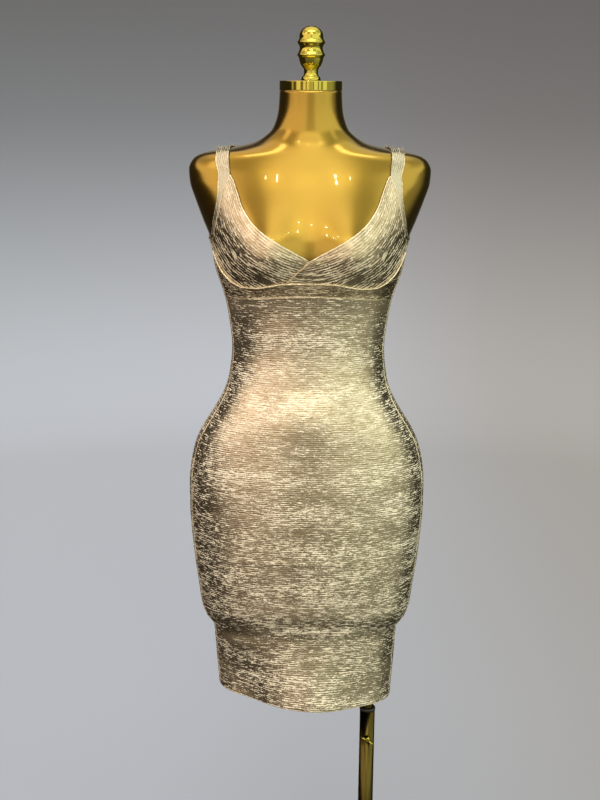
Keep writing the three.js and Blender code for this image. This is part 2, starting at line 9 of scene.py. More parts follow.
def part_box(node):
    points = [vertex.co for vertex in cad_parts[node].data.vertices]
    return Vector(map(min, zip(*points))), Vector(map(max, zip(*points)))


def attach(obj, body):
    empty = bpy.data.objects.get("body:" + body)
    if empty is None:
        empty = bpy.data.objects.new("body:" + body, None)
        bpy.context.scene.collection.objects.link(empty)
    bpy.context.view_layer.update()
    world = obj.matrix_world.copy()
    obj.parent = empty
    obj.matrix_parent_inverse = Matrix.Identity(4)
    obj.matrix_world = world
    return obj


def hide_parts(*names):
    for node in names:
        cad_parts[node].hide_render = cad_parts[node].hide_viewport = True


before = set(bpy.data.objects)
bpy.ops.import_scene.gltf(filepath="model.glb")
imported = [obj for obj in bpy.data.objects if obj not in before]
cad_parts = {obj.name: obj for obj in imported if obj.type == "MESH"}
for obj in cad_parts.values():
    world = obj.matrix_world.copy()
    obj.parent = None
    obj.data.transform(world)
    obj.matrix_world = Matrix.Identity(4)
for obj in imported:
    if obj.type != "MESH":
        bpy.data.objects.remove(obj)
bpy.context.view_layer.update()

mm = 0.001


# The photo's camera: 2 m in front of the form, level with its neck cap, and tilted down.
# Its lens follows from the 800 pixel height of the photo's frame.
cap_low, cap_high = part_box("neck_cap")
cap_level = (cap_low.z + cap_high.z) / 2
photo_height = 800
focal_pixels = 1290
camera_data = bpy.data.cameras.new("photo_camera")
camera_data.sensor_width = 36
camera_data.lens = focal_pixels / photo_height * camera_data.sensor_width
camera = bpy.data.objects.new("photo_camera", camera_data)
bpy.context.scene.collection.objects.link(camera)
tilt = Matrix.Rotation(math.radians(90 - 13.7), 4, "X")
roll = Matrix.Rotation(math.radians(0.53), 4, "Z")
camera.matrix_world = Matrix.Translation((-12 * mm, -2.0, cap_level)) @ tilt @ roll
bpy.context.scene.camera = camera


def node(tree, kind, inputs=None, **settings):
    """A shader node with its settings, and with its inputs set to values or linked to other nodes' outputs."""
    made = tree.nodes.new(kind)
    for key, value in settings.items():
        setattr(made, key, value)
    for key, value in (inputs or {}).items():
        if isinstance(value, bpy.types.NodeSocket):
            tree.links.new(value, made.inputs[key])
        else:
            made.inputs[key].default_value = value
    return made


def maths(tree, operation, *values, clamp=False):
    """The output of one Math node."""
    return node(tree, "ShaderNodeMath", dict(enumerate(values)), operation=operation, use_clamp=clamp).outputs[0]


def ramp(tree, value, low, high, to_low=0.0, to_high=1.0):
    """A value's share of the way from low to high, smoothed and put between to_low and to_high."""
    inputs = {"Value": value, "From Min": low, "From Max": high, "To Min": to_low, "To Max": to_high}
    made = node(tree, "ShaderNodeMapRange", inputs, interpolation_type="SMOOTHSTEP")
    return made.outputs["Result"]


def blend_colour(tree, share, low, high):
    """A colour between two colours."""
    made = node(tree, "ShaderNodeMix", {"Factor": share, "A": low, "B": high}, data_type="RGBA")
    made.inputs["Factor"].default_value = 0.5 if isinstance(share, bpy.types.NodeSocket) else share
    return made.outputs["Result"]


def new_material(name):
    """An empty material with its tree and its Principled shader."""
    made = bpy.data.materials.new(name)
    made.use_nodes = True
    tree = made.node_tree
    return made, tree, tree.nodes["Principled BSDF"]


# The studio: a round cove of pale paper, floor and wall in one sweep, that only the camera sees.
# The bright air round it is the soft light, peach on the left and greenish on the right, and one lamp above
# and a row of small ones in front add the highlights on the gold.
floor_reach, wall_radius, wall_top = 4.4, 1.3, 5.0
cove_profile = [(0.0, 0.0), (0.6, 0.0), (1.4, 0.0), (floor_reach - wall_radius, 0.0)]
cove_profile += [
    (floor_reach - wall_radius + wall_radius * math.sin(t), wall_radius * (1 - math.cos(t)))
    for t in np.linspace(0.08, math.pi / 2, 18)
]
cove_profile += [(floor_reach, wall_top)]
cove_sides = 96
cove_turns = [i * 2 * math.pi / cove_sides for i in range(cove_sides)]
cove_mesh = bpy.data.meshes.new("studio_cove")
cove_mesh.from_pydata(
    [(radius * math.cos(t), radius * math.sin(t), height) for radius, height in cove_profile[1:] for t in cove_turns]
    + [(0, 0, 0)],
    [],
    [
        (row * cove_sides + i, row * cove_sides + (i + 1) % cove_sides,
         (row + 1) * cove_sides + (i + 1) % cove_sides, (row + 1) * cove_sides + i)
        for row in range(len(cove_profile) - 2) for i in range(cove_sides)
    ]
    + [((len(cove_profile) - 1) * cove_sides, (i + 1) % cove_sides, i) for i in range(cove_sides)],
)
cove_mesh.shade_smooth()
cove = bpy.data.objects.new("studio_cove", cove_mesh)
bpy.context.scene.collection.objects.link(cove)
cove.visible_glossy = False
cove.visible_diffuse = False
cove.visible_shadow = False
paper, paper_tree, paper_shader = new_material("studio_paper")
paper_place = node(paper_tree, "ShaderNodeTexCoord").outputs["Object"]
paper_way = node(paper_tree, "ShaderNodeSeparateXYZ", {"Vector": paper_place})
# Painted shade on the paper: its colour darkens towards the right, a painted shadow, and darkens up the wall
paper_painted_shade_right = ramp(paper_tree, paper_way.outputs["X"], -0.3, 1.1)
paper_low = blend_colour(paper_tree, paper_painted_shade_right, (0.325, 0.37, 0.50, 1), (0.255, 0.27, 0.32, 1))
paper_with_painted_shade = blend_colour(
    paper_tree, ramp(paper_tree, paper_way.outputs["Z"], -0.5, 2.2), paper_low, (0.095, 0.10, 0.127, 1)
)
paper_tree.links.new(paper_with_painted_shade, paper_shader.inputs["Base Color"])
paper_shader.inputs["Roughness"].default_value = 0.9
cove_mesh.materials.append(paper)


def lamp(name, place, aim, size, power, colour):
    """A soft rectangular lamp that faces a point."""
    data = bpy.data.lights.new(name, "AREA")
    data.shape = "RECTANGLE"
    data.size, data.size_y = size
    data.energy = power
    data.color = colour
    made = bpy.data.objects.new(name, data)
    made.location = place
    made.rotation_euler = (Vector(aim) - Vector(place)).to_track_quat("-Z", "Y").to_euler()
    made.visible_camera = False
    bpy.context.scene.collection.objects.link(made)


lamp("lamp_above", (0, -0.7, 3.0), (0, 0, 1.2), (1.6, 0.5), 10, (1.0, 0.98, 0.93))
glint_columns = (-0.75, -0.62, -0.46, -0.05, 0.34, 0.5, 0.66)
glint_size, glint_power = 0.035, 0.4
for number, x in enumerate(glint_columns):
    place = (x, -2.4, 3.0 - 0.2 * (number % 2))
    lamp(f"lamp_glint_{number}", place, (0, 0, 1.2), (glint_size, glint_size), glint_power, (1.0, 0.97, 0.9))

world = bpy.data.worlds.new("studio_air")
world.use_nodes = True
bpy.context.scene.world = world
air = world.node_tree
way = node(air, "ShaderNodeSeparateXYZ", {"Vector": node(air, "ShaderNodeTexCoord").outputs["Generated"]})
air_x, air_y, air_z = (way.outputs[axis] for axis in "XYZ")
turn = maths(air, "ARCTAN2", air_x, maths(air, "MULTIPLY", air_y, -1.0))
wide = maths(air, "ABSOLUTE", turn)


def product(*values):
    """The product of values in the air."""
    whole = values[0]
    for value in values[1:]:
        whole = maths(air, "MULTIPLY", whole, value)
    return whole


def round_ramp(value, low, high, to_low=0.0, to_high=1.0):
    """A ramp between two angles round the room, in degrees."""
    return ramp(air, value, math.radians(low), math.radians(high), to_low, to_high)


front_band = product(
    ramp(air, maths(air, "MULTIPLY_ADD", air_z, -1.5, air_y), -0.20, -0.50),
    ramp(air, air_z, -0.30, 0.15, 1.08, 2.15),
    ramp(air, air_z, 0.38, 0.58, 1.0, 0.45),
    round_ramp(wide, 4, 10, 0.55, 1.0),
)
# Gaps in the light at eye level, which show as dark lines on the neck cap: angle and half width in degrees
panel_gaps = ((-60, 8), (-33, 6), (-17, 2.5), (9, 2), (27, 3), (40, 5), (66, 8))
off_level = ramp(air, maths(air, "ABSOLUTE", air_z), 0.012, 0.03)
for place, half_width in panel_gaps:
    away = maths(air, "ABSOLUTE", maths(air, "SUBTRACT", turn, math.radians(place)))
    gap = round_ramp(away, half_width * 0.6, half_width, 0.06, 1.0)
    front_band = product(front_band, maths(air, "MAXIMUM", gap, off_level))
floor_glow = product(
    ramp(air, maths(air, "MULTIPLY_ADD", air_x, -0.3, air_y), 0.0, -0.50),
    ramp(air, air_x, 0.10, 0.80, 0.36, 0.72),
    ramp(air, air_z, -0.75, -0.25, 0.5, 1.0),
)
high_box = product(ramp(air, air_z, 0.28, 0.42), ramp(air, air_z, 0.95, 0.8), round_ramp(wide, 34, 4, 0.0, 3.0))
side_box = product(
    ramp(air, air_z, 0.36, 0.46), ramp(air, air_z, 0.8, 0.66), round_ramp(wide, 38, 54),
    ramp(air, turn, -0.3, 0.3, 3.2, 2.0), round_ramp(wide, 78, 64),
)
behind = ramp(air, air_y, 0.85, 0.98, 0.0, 0.3)
overhead = ramp(air, air_z, 0.70, 0.85)
peach, green = (1.0, 0.81, 0.66, 1), (0.90, 0.92, 0.71, 1)
peach_to_green = blend_colour(air, ramp(air, air_x, -0.6, 0.6), peach, green)
light = maths(air, "MAXIMUM", front_band, floor_glow)
light = maths(air, "MAXIMUM", light, maths(air, "MAXIMUM", high_box, side_box))
light = maths(air, "ADD", light, maths(air, "ADD", behind, overhead))
air.links.new(peach_to_green, air.nodes["Background"].inputs["Color"])
air.links.new(maths(air, "ADD", light, 0.05), air.nodes["Background"].inputs["Strength"])
bpy.context.scene.view_settings.view_transform = "Standard"


# The torso: a hollow moulded shell, sprayed gold and clear lacquered, with soft mounds for a bust.
# It is made of level sections; each row has its drop below the neck cap, half width, front and back.
torso_rows = np.array([
    (7, 47.5, 48, 48), (33, 49, 49, 50), (63, 57.5, 52, 56), (74, 68.5, 54.5, 60), (84, 85, 57, 63.5),
    (94, 128, 60.5, 68), (98, 152, 62, 70), (103, 169, 64, 73), (111, 179.5, 67, 77.5),
    (125, 185, 72, 84.5), (141, 184, 77, 90), (171, 175, 85.5, 97), (186, 169.5, 89, 99),
    (202, 163.5, 92, 100), (232, 151.5, 96, 99.5), (248, 147.2, 96.5, 98.5), (263, 145, 95.5, 97),
    (279, 141.5, 93.5, 95), (295, 136, 91, 93), (310, 131, 88.5, 90.5), (326, 126.5, 86.5, 88),
    (350, 122, 84, 85.3), (398, 117, 82, 83), (446, 122, 87.3, 90.5), (470, 129.5, 95, 97),
    (490, 139.5, 101, 103), (505, 148.5, 103.4, 107.5), (520, 158, 104.4, 112), (538, 168.5, 104.8, 117.5),
    (558, 176.5, 105.4, 122.5),
    (585, 182.5, 106.5, 127), (618, 186, 107.2, 129), (655, 186, 107, 127), (700, 183.5, 106, 121),
    (750, 178.7, 104.5, 114.5), (795, 172.5, 102.2, 109), (828, 168, 100.3, 105.2),
    (841, 163.6, 97.5, 102), (851, 157.5, 93, 97.5), (859, 151, 88, 92.5), (866, 144.5, 81.5, 86), (870, 139, 76, 80),
]) * mm
roundness = 2.25
bust = {"height": 28 * mm, "apex_x": 76 * mm, "apex_drop": 243 * mm, "spread": 64 * mm}
bust_above, bust_below = 62 * mm, 40 * mm
foot_arch = 13 * mm


def flowing(rows):
    """A smooth curve through rows of a place and its values, with no swing past any of them."""
    places, values = rows[:, 0], rows[:, 1:]
    steps = np.diff(places)[:, None]
    slopes = np.diff(values, axis=0) / steps
    before, after = slopes[:-1], slopes[1:]
    weight_before = 2 * steps[1:] + steps[:-1]
    weight_after = steps[1:] + 2 * steps[:-1]
    with np.errstate(divide="ignore", invalid="ignore"):
        mean = (weight_before + weight_after) / (weight_before / before + weight_after / after)
    middle = np.where(before * after > 0, mean, 0.0)
    tangents = np.vstack([slopes[:1], middle, slopes[-1:]])

    def at(place):
        place = np.asarray(place, float)
        i = np.clip(np.searchsorted(places, place) - 1, 0, len(places) - 2)
        step = steps[i]
        t = ((place - places[i]) / steps[i, 0])[..., None]
        rise = values[i + 1] * (3 * t**2 - 2 * t**3) + values[i] * (1 - 3 * t**2 + 2 * t**3)
        return rise + step * (tangents[i] * (t - 2 * t**2 + t**3) + tangents[i + 1] * (t**3 - t**2))

    return at


torso_section = flowing(torso_rows)


def bust_at(x, drop, half):
    """How far the bust stands forward of the plain section."""
    reach = np.where(drop < bust["apex_drop"], bust_above, bust_below)
    rise = (drop - bust["apex_drop"]) / reach
    mounds = sum(np.exp(-(((x - side * bust["apex_x"]) / bust["spread"]) ** 2)) for side in (-1, 1))
    fade = 1 - np.minimum(np.abs(x) / half, 1) ** 4
    return bust["height"] * fade * np.exp(-rise * rise) * mounds


def eased(share):
    """A share with a soft start and end."""
    share = np.clip(share, 0, 1)
    return share * share * (3 - 2 * share)


def section_points(section, drop, angle, offset):
    """Points of a section at angles round from the centre front, moved out by an offset."""
    turn = np.radians(angle)
    arch = foot_arch * np.maximum(np.cos(turn), 0) ** 2
    arch = arch * eased((drop - 780 * mm) / (70 * mm)) * (1 - eased((drop - 895 * mm) / (85 * mm)))
    half = section[..., 0] + offset
    x = half * np.sin(turn)
    depth = (1 - np.abs(np.sin(turn)) ** roundness) ** (1 / roundness)
    front = -(section[..., 1] + offset) * depth - bust_at(x, drop, half)
    back = (section[..., 2] + offset) * depth
    y = np.where(np.cos(turn) > 0, front, back)
    return np.stack([x, y, cap_level - drop + arch + 0 * x], axis=-1)


def body_points(angle, drop, offset=0.0):
    """Points of the torso at angles and drops, moved out by an offset."""
    angle, drop, offset = np.broadcast_arrays(angle, drop, offset)
    return section_points(torso_section(drop), drop, angle, offset)


def spaced(curve, count):
    """A curve's points at even steps along it."""
    runs = np.concatenate([[0], np.cumsum(np.linalg.norm(np.diff(curve, axis=0), axis=1))])
    at = np.linspace(0, runs[-1], count)
    return np.stack([np.interp(at, runs, column) for column in curve.T], axis=-1)


def mesh_object(name, points, faces, material, body, replaced=(), slot=None, cloth_uv=None, foil=None):
    """A smooth mesh that rides on a body, with its finish and, on cloth, its weave coordinates."""
    mesh = bpy.data.meshes.new(name)
    mesh.from_pydata([tuple(p) for p in points], [], faces)
    mesh.shade_smooth()
    if cloth_uv is not None:
        layer = mesh.uv_layers.new(name="cloth")
        corners = np.empty(len(mesh.loops), np.int32)
        mesh.loops.foreach_get("vertex_index", corners)
        layer.data.foreach_set("uv", np.asarray(cloth_uv, np.float32)[corners].ravel())
    if foil is not None:
        attribute = mesh.attributes.new("foil", "FLOAT", "POINT")
        attribute.data.foreach_set("value", np.asarray(foil, np.float32).ravel())
    mesh.materials.append(material)
    made = bpy.data.objects.new(name, mesh)
    bpy.context.scene.collection.objects.link(made)
    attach(made, body)
    if replaced:
        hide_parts(*replaced)
    return made


def lacquer_material():
    """Gold spray with fine flakes under a clear coat, with a faint orange peel."""
    made, tree, shader = new_material("gold_lacquer")
    place = node(tree, "ShaderNodeTexCoord").outputs["Object"]
    flakes = node(tree, "ShaderNodeTexVoronoi", {"Vector": place, "Scale": 1400.0}).outputs["Color"]
    tint = node(tree, "ShaderNodeTexNoise", {"Vector": place, "Scale": 9.0, "Detail": 2.0}).outputs["Fac"]
    gold = blend_colour(tree, tint, (0.24, 0.148, 0.016, 1), (0.29, 0.19, 0.025, 1))
    glitter = node(tree, "ShaderNodeSeparateColor", {"Color": flakes}).outputs["Red"]
    tree.links.new(gold, shader.inputs["Base Color"])
    tree.links.new(ramp(tree, glitter, 0.0, 1.0, 0.19, 0.24), shader.inputs["Roughness"])
    peel = node(tree, "ShaderNodeTexNoise", {"Vector": place, "Scale": 55.0, "Detail": 2.0}).outputs["Fac"]
    bump = node(tree, "ShaderNodeBump", {"Height": peel, "Strength": 0.06, "Distance": 0.0006})
    tree.links.new(bump.outputs["Normal"], shader.inputs["Normal"])
    shader.inputs["Metallic"].default_value = 1.0
    shader.inputs["Coat Weight"].default_value = 0.35
    shader.inputs["Coat Roughness"].default_value = 0.03
    return made


lacquer = lacquer_material()


def ring_stack(rings):
    """Points and faces of a closed solid through rings of points that run down, with flat ends."""
    count, sides = rings.shape[:2]
    points = np.vstack([rings.reshape(-1, 3), rings[0].mean(0), rings[-1].mean(0)])
    top, bottom = count * sides, count * sides + 1
    faces = []
    for i in range(sides):
        j = (i + 1) % sides
        faces += [(r * sides + i, (r + 1) * sides + i, (r + 1) * sides + j, r * sides + j) for r in range(count - 1)]
        faces += [(top, i, j), (bottom, (count - 1) * sides + j, (count - 1) * sides + i)]
    return points, faces


def finer(places, step):
    """The places with more between them, no more than a step apart."""
    parts = [np.linspace(a, b, max(2, math.ceil((b - a) / step) + 1))[:-1] for a, b in zip(places, places[1:])]
    return np.concatenate([*parts, places[-1:]])


torso_sides = 192
torso_drops = finer(torso_rows[:, 0], 4 * mm)
torso_angles = np.arange(torso_sides) * 360 / torso_sides
torso_rings = body_points(torso_angles[None, :], torso_drops[:, None])
torso_points, torso_faces = ring_stack(torso_rings)
torso_points[-1, 2] = cap_level - torso_rows[-1, 0]
mesh_object("torso_shell", torso_points, torso_faces, lacquer, "form", ["torso"], "gold_lacquer")


# The neck cap and the finial: spun and turned brass, plated to a mirror, the finial screwed into the cap.
# Each is one turned profile of radius and height.
def turned(profile, sides=96, centre=(0.0, 0.0, 0.0)):
    """Points and faces of a solid turned about an upright axis; a ring's profile closes on itself."""
    turns = np.arange(sides) * 2 * math.pi / sides
    rounds = np.stack([np.cos(turns), np.sin(turns)], axis=-1)
    points, rows, faces = [], [], []
    for radius, height in profile:
        if radius == 0:
            rows.append([len(points)] * sides)
            points.append((centre[0], centre[1], centre[2] + height))
        else:
            rows.append(list(range(len(points), len(points) + sides)))
            points += [(centre[0] + radius * c, centre[1] + radius * s, centre[2] + height) for c, s in rounds]
    for low, high in zip(rows, rows[1:]):
        for i in range(sides):
            j = (i + 1) % sides
            face = list(dict.fromkeys([low[i], low[j], high[j], high[i]]))
            if len(face) > 2:
                faces.append(tuple(face))
    return points, faces


def closed_ring(profile, sides=96, centre=(0.0, 0.0, 0.0)):
    """A turned ring, whose last profile point joins its first."""
    points, faces = turned([*profile, profile[0]], sides, centre)
    kept = len(points) - sides
    faces = [tuple(i - kept if i >= kept else i for i in face) for face in faces]
    return points[:kept], faces


def rounded(profile, radius, steps=4):
    """A profile with each inner corner turned into a short arc."""
    made = [profile[0]]
    for before, corner, after in zip(profile, profile[1:], profile[2:]):
        corner = np.array(corner)
        into, out = np.array(before) - corner, np.array(after) - corner
        reach = min(radius, np.linalg.norm(into) / 2.2, np.linalg.norm(out) / 2.2)
        start = corner + into / np.linalg.norm(into) * reach
        end = corner + out / np.linalg.norm(out) * reach
        for t in np.linspace(0, 1, steps):
            made.append(tuple((1 - t) ** 2 * start + 2 * t * (1 - t) * corner + t**2 * end))
    return [*made, profile[-1]]


def plate_material(name, colour, roughness, streak):
    """Polished plating with faint turning marks that run round the piece."""
    made, tree, shader = new_material(name)
    place = node(tree, "ShaderNodeTexCoord").outputs["Object"]
    squeezed = node(tree, "ShaderNodeMapping", {"Vector": place, "Scale": (3.0, 3.0, 900.0)}).outputs["Vector"]
    marks = node(tree, "ShaderNodeTexNoise", {"Vector": squeezed, "Scale": 1.0, "Detail": 3.0}).outputs["Fac"]
    smear = node(tree, "ShaderNodeTexNoise", {"Vector": place, "Scale": 30.0, "Detail": 3.0}).outputs["Fac"]
    tree.links.new(ramp(tree, smear, 0.35, 0.75, roughness, roughness + streak), shader.inputs["Roughness"])
    dull = tuple(channel * 0.9 for channel in colour[:3]) + (1.0,)
    tree.links.new(blend_colour(tree, smear, dull, colour), shader.inputs["Base Color"])
    bump = node(tree, "ShaderNodeBump", {"Height": marks, "Strength": 0.05, "Distance": 0.0003})
    tree.links.new(bump.outputs["Normal"], shader.inputs["Normal"])
    shader.inputs["Metallic"].default_value = 1.0
    return made


mirror_gold = plate_material("mirror_gold", (0.40, 0.34, 0.06, 1), 0.03, 0.03)
cap_radius = cap_high.x
cap_thick = cap_high.z - cap_low.z
cap_profile = rounded(
    [(0, 0), (cap_radius, 0), (cap_radius, 1.8 * mm), (cap_radius, cap_thick - 1.8 * mm), (cap_radius, cap_thick),
     (0, cap_thick)],
    0.8 * mm,
)
mesh_object(
    "neck_cap_disc", *turned(cap_profile, centre=(0, 0, cap_low.z)), mirror_gold, "form", ["neck_cap"], "gold_plate"
)

finial_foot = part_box("finial")[0].z
finial_rows = [
    (0, 0), (14.9, 0), (15.1, 1.6), (14.9, 3.4), (14, 5.8), (11.6, 7.6), (10.8, 10), (10.9, 16), (12, 18.6),
    (14.4, 21), (16.6, 25), (18.2, 30), (18.9, 33.6), (21.2, 36.4), (21.5, 37.6), (20.9, 39), (18.9, 42.4),
    (17.5, 47), (17.9, 50), (21.0, 54.4), (21.5, 56), (20.9, 57.4), (19.0, 59.8), (18.3, 62), (18.3, 66),
    (17.2, 70), (15.0, 73.7), (11.6, 76.9), (6.6, 79.2), (2.6, 79.9), (0, 80),
]
finial_profile = rounded([(radius * mm, height * mm) for radius, height in finial_rows], 1.2 * mm, 3)
mesh_object(
    "finial_turned", *turned(finial_profile, centre=(0, 0, finial_foot)), mirror_gold, "form", ["finial"], "gold_plate"
)


# The flange screwed under the torso, and the steel lift rod that its hub holds; both are plated dull gold.
pole_x = 107 * mm
tube_gold = plate_material("tube_gold", (0.075, 0.058, 0.014, 1), 0.2, 0.12)
flange_low, flange_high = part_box("rod_flange")
flange_thick, hub_radius, rod_radius = 4 * mm, 14.5 * mm, 9.5 * mm
flange_radius = (flange_high.x - flange_low.x) / 2
hub_bore = rod_radius + 0.3 * mm
hub_height = flange_high.z - flange_low.z
flange_profile = [
    (0, hub_height - flange_thick), (hub_bore, hub_height - flange_thick), (hub_bore, 0), (hub_radius, 0),
    (hub_radius, hub_height - flange_thick - 2 * mm), (hub_radius + 2 * mm, hub_height - flange_thick),
    (flange_radius, hub_height - flange_thick), (flange_radius, hub_height), (0, hub_height),
]
mesh_object(
    "flange_under_torso", *turned(rounded(flange_profile, 0.6 * mm, 3), centre=(pole_x, 0, flange_low.z)),
    tube_gold, "form", ["rod_flange"], "gold_tube",
)
rod_low, rod_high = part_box("lift_rod")
rod_length = rod_high.z - rod_low.z
rod_profile = rounded([(0, 0), (rod_radius, 0), (rod_radius, rod_length), (0, rod_length)], 0.8 * mm)
mesh_object(
    "lift_rod_plated", *turned(rod_profile, centre=(pole_x, 0, rod_low.z)), tube_gold, "lift", ["lift_rod"], "gold_tube"
)


# The stand tube with the black plastic collar pressed on its mouth, and the socket welded to the foot plate.
# The tube is bored in front for the clamp screw; the plate is steel, sprayed in the same gold.
tube_low, tube_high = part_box("stand_tube")
tube_radius = tube_high.y
tube_bore = 10 * mm
tube_length = tube_high.z - tube_low.z
mesh_object(
    "stand_tube_plated",
    *closed_ring(
        [(tube_bore, 0), (tube_radius, 0), (tube_radius, tube_length), (tube_bore, tube_length)],
        centre=(pole_x, 0, tube_low.z),
    ),
    tube_gold, "stand", ["stand_tube"], "gold_tube",
)


def plastic_material():
    """Black moulded plastic with a faint grain."""
    made, tree, shader = new_material("black_plastic")
    place = node(tree, "ShaderNodeTexCoord").outputs["Object"]
    grain = node(tree, "ShaderNodeTexNoise", {"Vector": place, "Scale": 700.0, "Detail": 2.0}).outputs["Fac"]
    black = blend_colour(tree, grain, (0.008, 0.008, 0.008, 1), (0.02, 0.019, 0.018, 1))
    tree.links.new(black, shader.inputs["Base Color"])
    tree.links.new(ramp(tree, grain, 0.3, 0.7, 0.32, 0.5), shader.inputs["Roughness"])
    bump = node(tree, "ShaderNodeBump", {"Height": grain, "Strength": 0.2, "Distance": 0.0002})
    tree.links.new(bump.outputs["Normal"], shader.inputs["Normal"])
    return made


collar_low, collar_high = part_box("tube_collar")
collar_radius = collar_high.y
collar_height = collar_high.z - collar_low.z
collar_bore = 9.95 * mm
collar_profile = [
    (collar_bore, 0), (collar_radius, 0), (collar_radius, collar_height * 0.7),
    (collar_radius - 1.1 * mm, collar_height), (collar_bore, collar_height),
]
mesh_object(
    "tube_collar_moulded", *closed_ring(collar_profile, centre=(pole_x, 0, collar_low.z)),
    plastic_material(), "stand", ["tube_collar"], "black_plastic",
)

socket_low, socket_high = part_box("base_socket")
socket_height = socket_high.z - socket_low.z
socket_flange, socket_radius = 34 * mm, 17.5 * mm
socket_bore = tube_radius + 0.3 * mm
socket_profile = [
    (socket_bore, 0), (socket_flange, 0), (socket_flange, 3.5 * mm), (socket_flange - 2 * mm, 5 * mm),
    (socket_radius + 2.5 * mm, 6 * mm), (socket_radius, 9 * mm), (socket_radius, socket_height - 2 * mm),
    (socket_radius - 1.5 * mm, socket_height), (socket_bore, socket_height),
]
mesh_object(
    "base_socket_plated", *closed_ring(socket_profile, centre=(pole_x, 0, socket_low.z)),
    tube_gold, "stand", ["base_socket"], "gold_tube",
)

plate_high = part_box("base_plate")[1]
plate_radius, plate_thick = plate_high.x, plate_high.z
plate_profile = rounded([(0, 0), (plate_radius, 0), (plate_radius, plate_thick), (0, plate_thick)], 2 * mm, 5)
mesh_object(
    "base_plate_sprayed", *turned(plate_profile, 160), tube_gold, "stand", ["base_plate"], "gold_tube"
)


# The clamp screw: a cast wing screw, plated, whose shaft passes through the tube's wall to grip the rod.
clamp_level = 378 * mm
clamp_start = tube_radius + 0.3 * mm
wing_turn = math.radians(32)


def cast_wing_screw():
    """Points and faces of the shaft, hub and two splayed wings, along -Y from the pole's axis."""
    points, faces = [], []

    def take(part, place):
        made, joins = part
        start = len(points)
        points.extend(tuple(place @ Vector(p)) for p in made)
        faces.extend(tuple(i + start for i in face) for face in joins)

    forward = Matrix.Rotation(math.pi / 2, 4, "X")
    shaft = rounded([(0, 10.4 * mm), (3 * mm, 10.4 * mm), (3 * mm, 17 * mm), (0, 17 * mm)], 0.4 * mm, 3)
    take(turned(shaft, 32), forward)
    hub = rounded(
        [(0, clamp_start), (5.2 * mm, clamp_start), (5.2 * mm, clamp_start + 6 * mm),
         (3.6 * mm, clamp_start + 9 * mm), (0, clamp_start + 9 * mm)],
        1.2 * mm,
    )
    take(turned(hub, 48), forward)
    for side in (-1, 1):
        lobe = [(math.sin(t) * 5.0 * mm, -math.cos(t) * 1.9 * mm) for t in np.linspace(0, math.pi, 17)]
        lobe[0], lobe[-1] = (0, -1.9 * mm), (0, 1.9 * mm)
        place = (
            Matrix.Translation((0, -(clamp_start + 5.4 * mm), 0))
            @ Matrix.Rotation(-side * math.radians(20), 4, "Z")
            @ Matrix.Translation((side * 7.4 * mm, 0, 0))
            @ Matrix.Diagonal((1.2, 0.95, 1.0, 1.0))
        )
        take(turned(lobe, 40), place)
    return points, faces


wing_points, wing_faces = cast_wing_screw()
wing_place = Matrix.Translation((pole_x, 0, clamp_level)) @ Matrix.Rotation(wing_turn, 4, "Y")
wing_points = [tuple(wing_place @ Vector(p)) for p in wing_points]
mesh_object("clamp_screw_cast", wing_points, wing_faces, mirror_gold, "clamp", ["clamp_screw"], "gold_plate")


# The knit of the dress: a taupe bandage knit, foiled after knitting, so that a metallic film lies in broken
# dashes on the crowns of its fine ribs. The weave runs along the first of its coordinates, in metres.
rib_pitch = 3.2 * mm


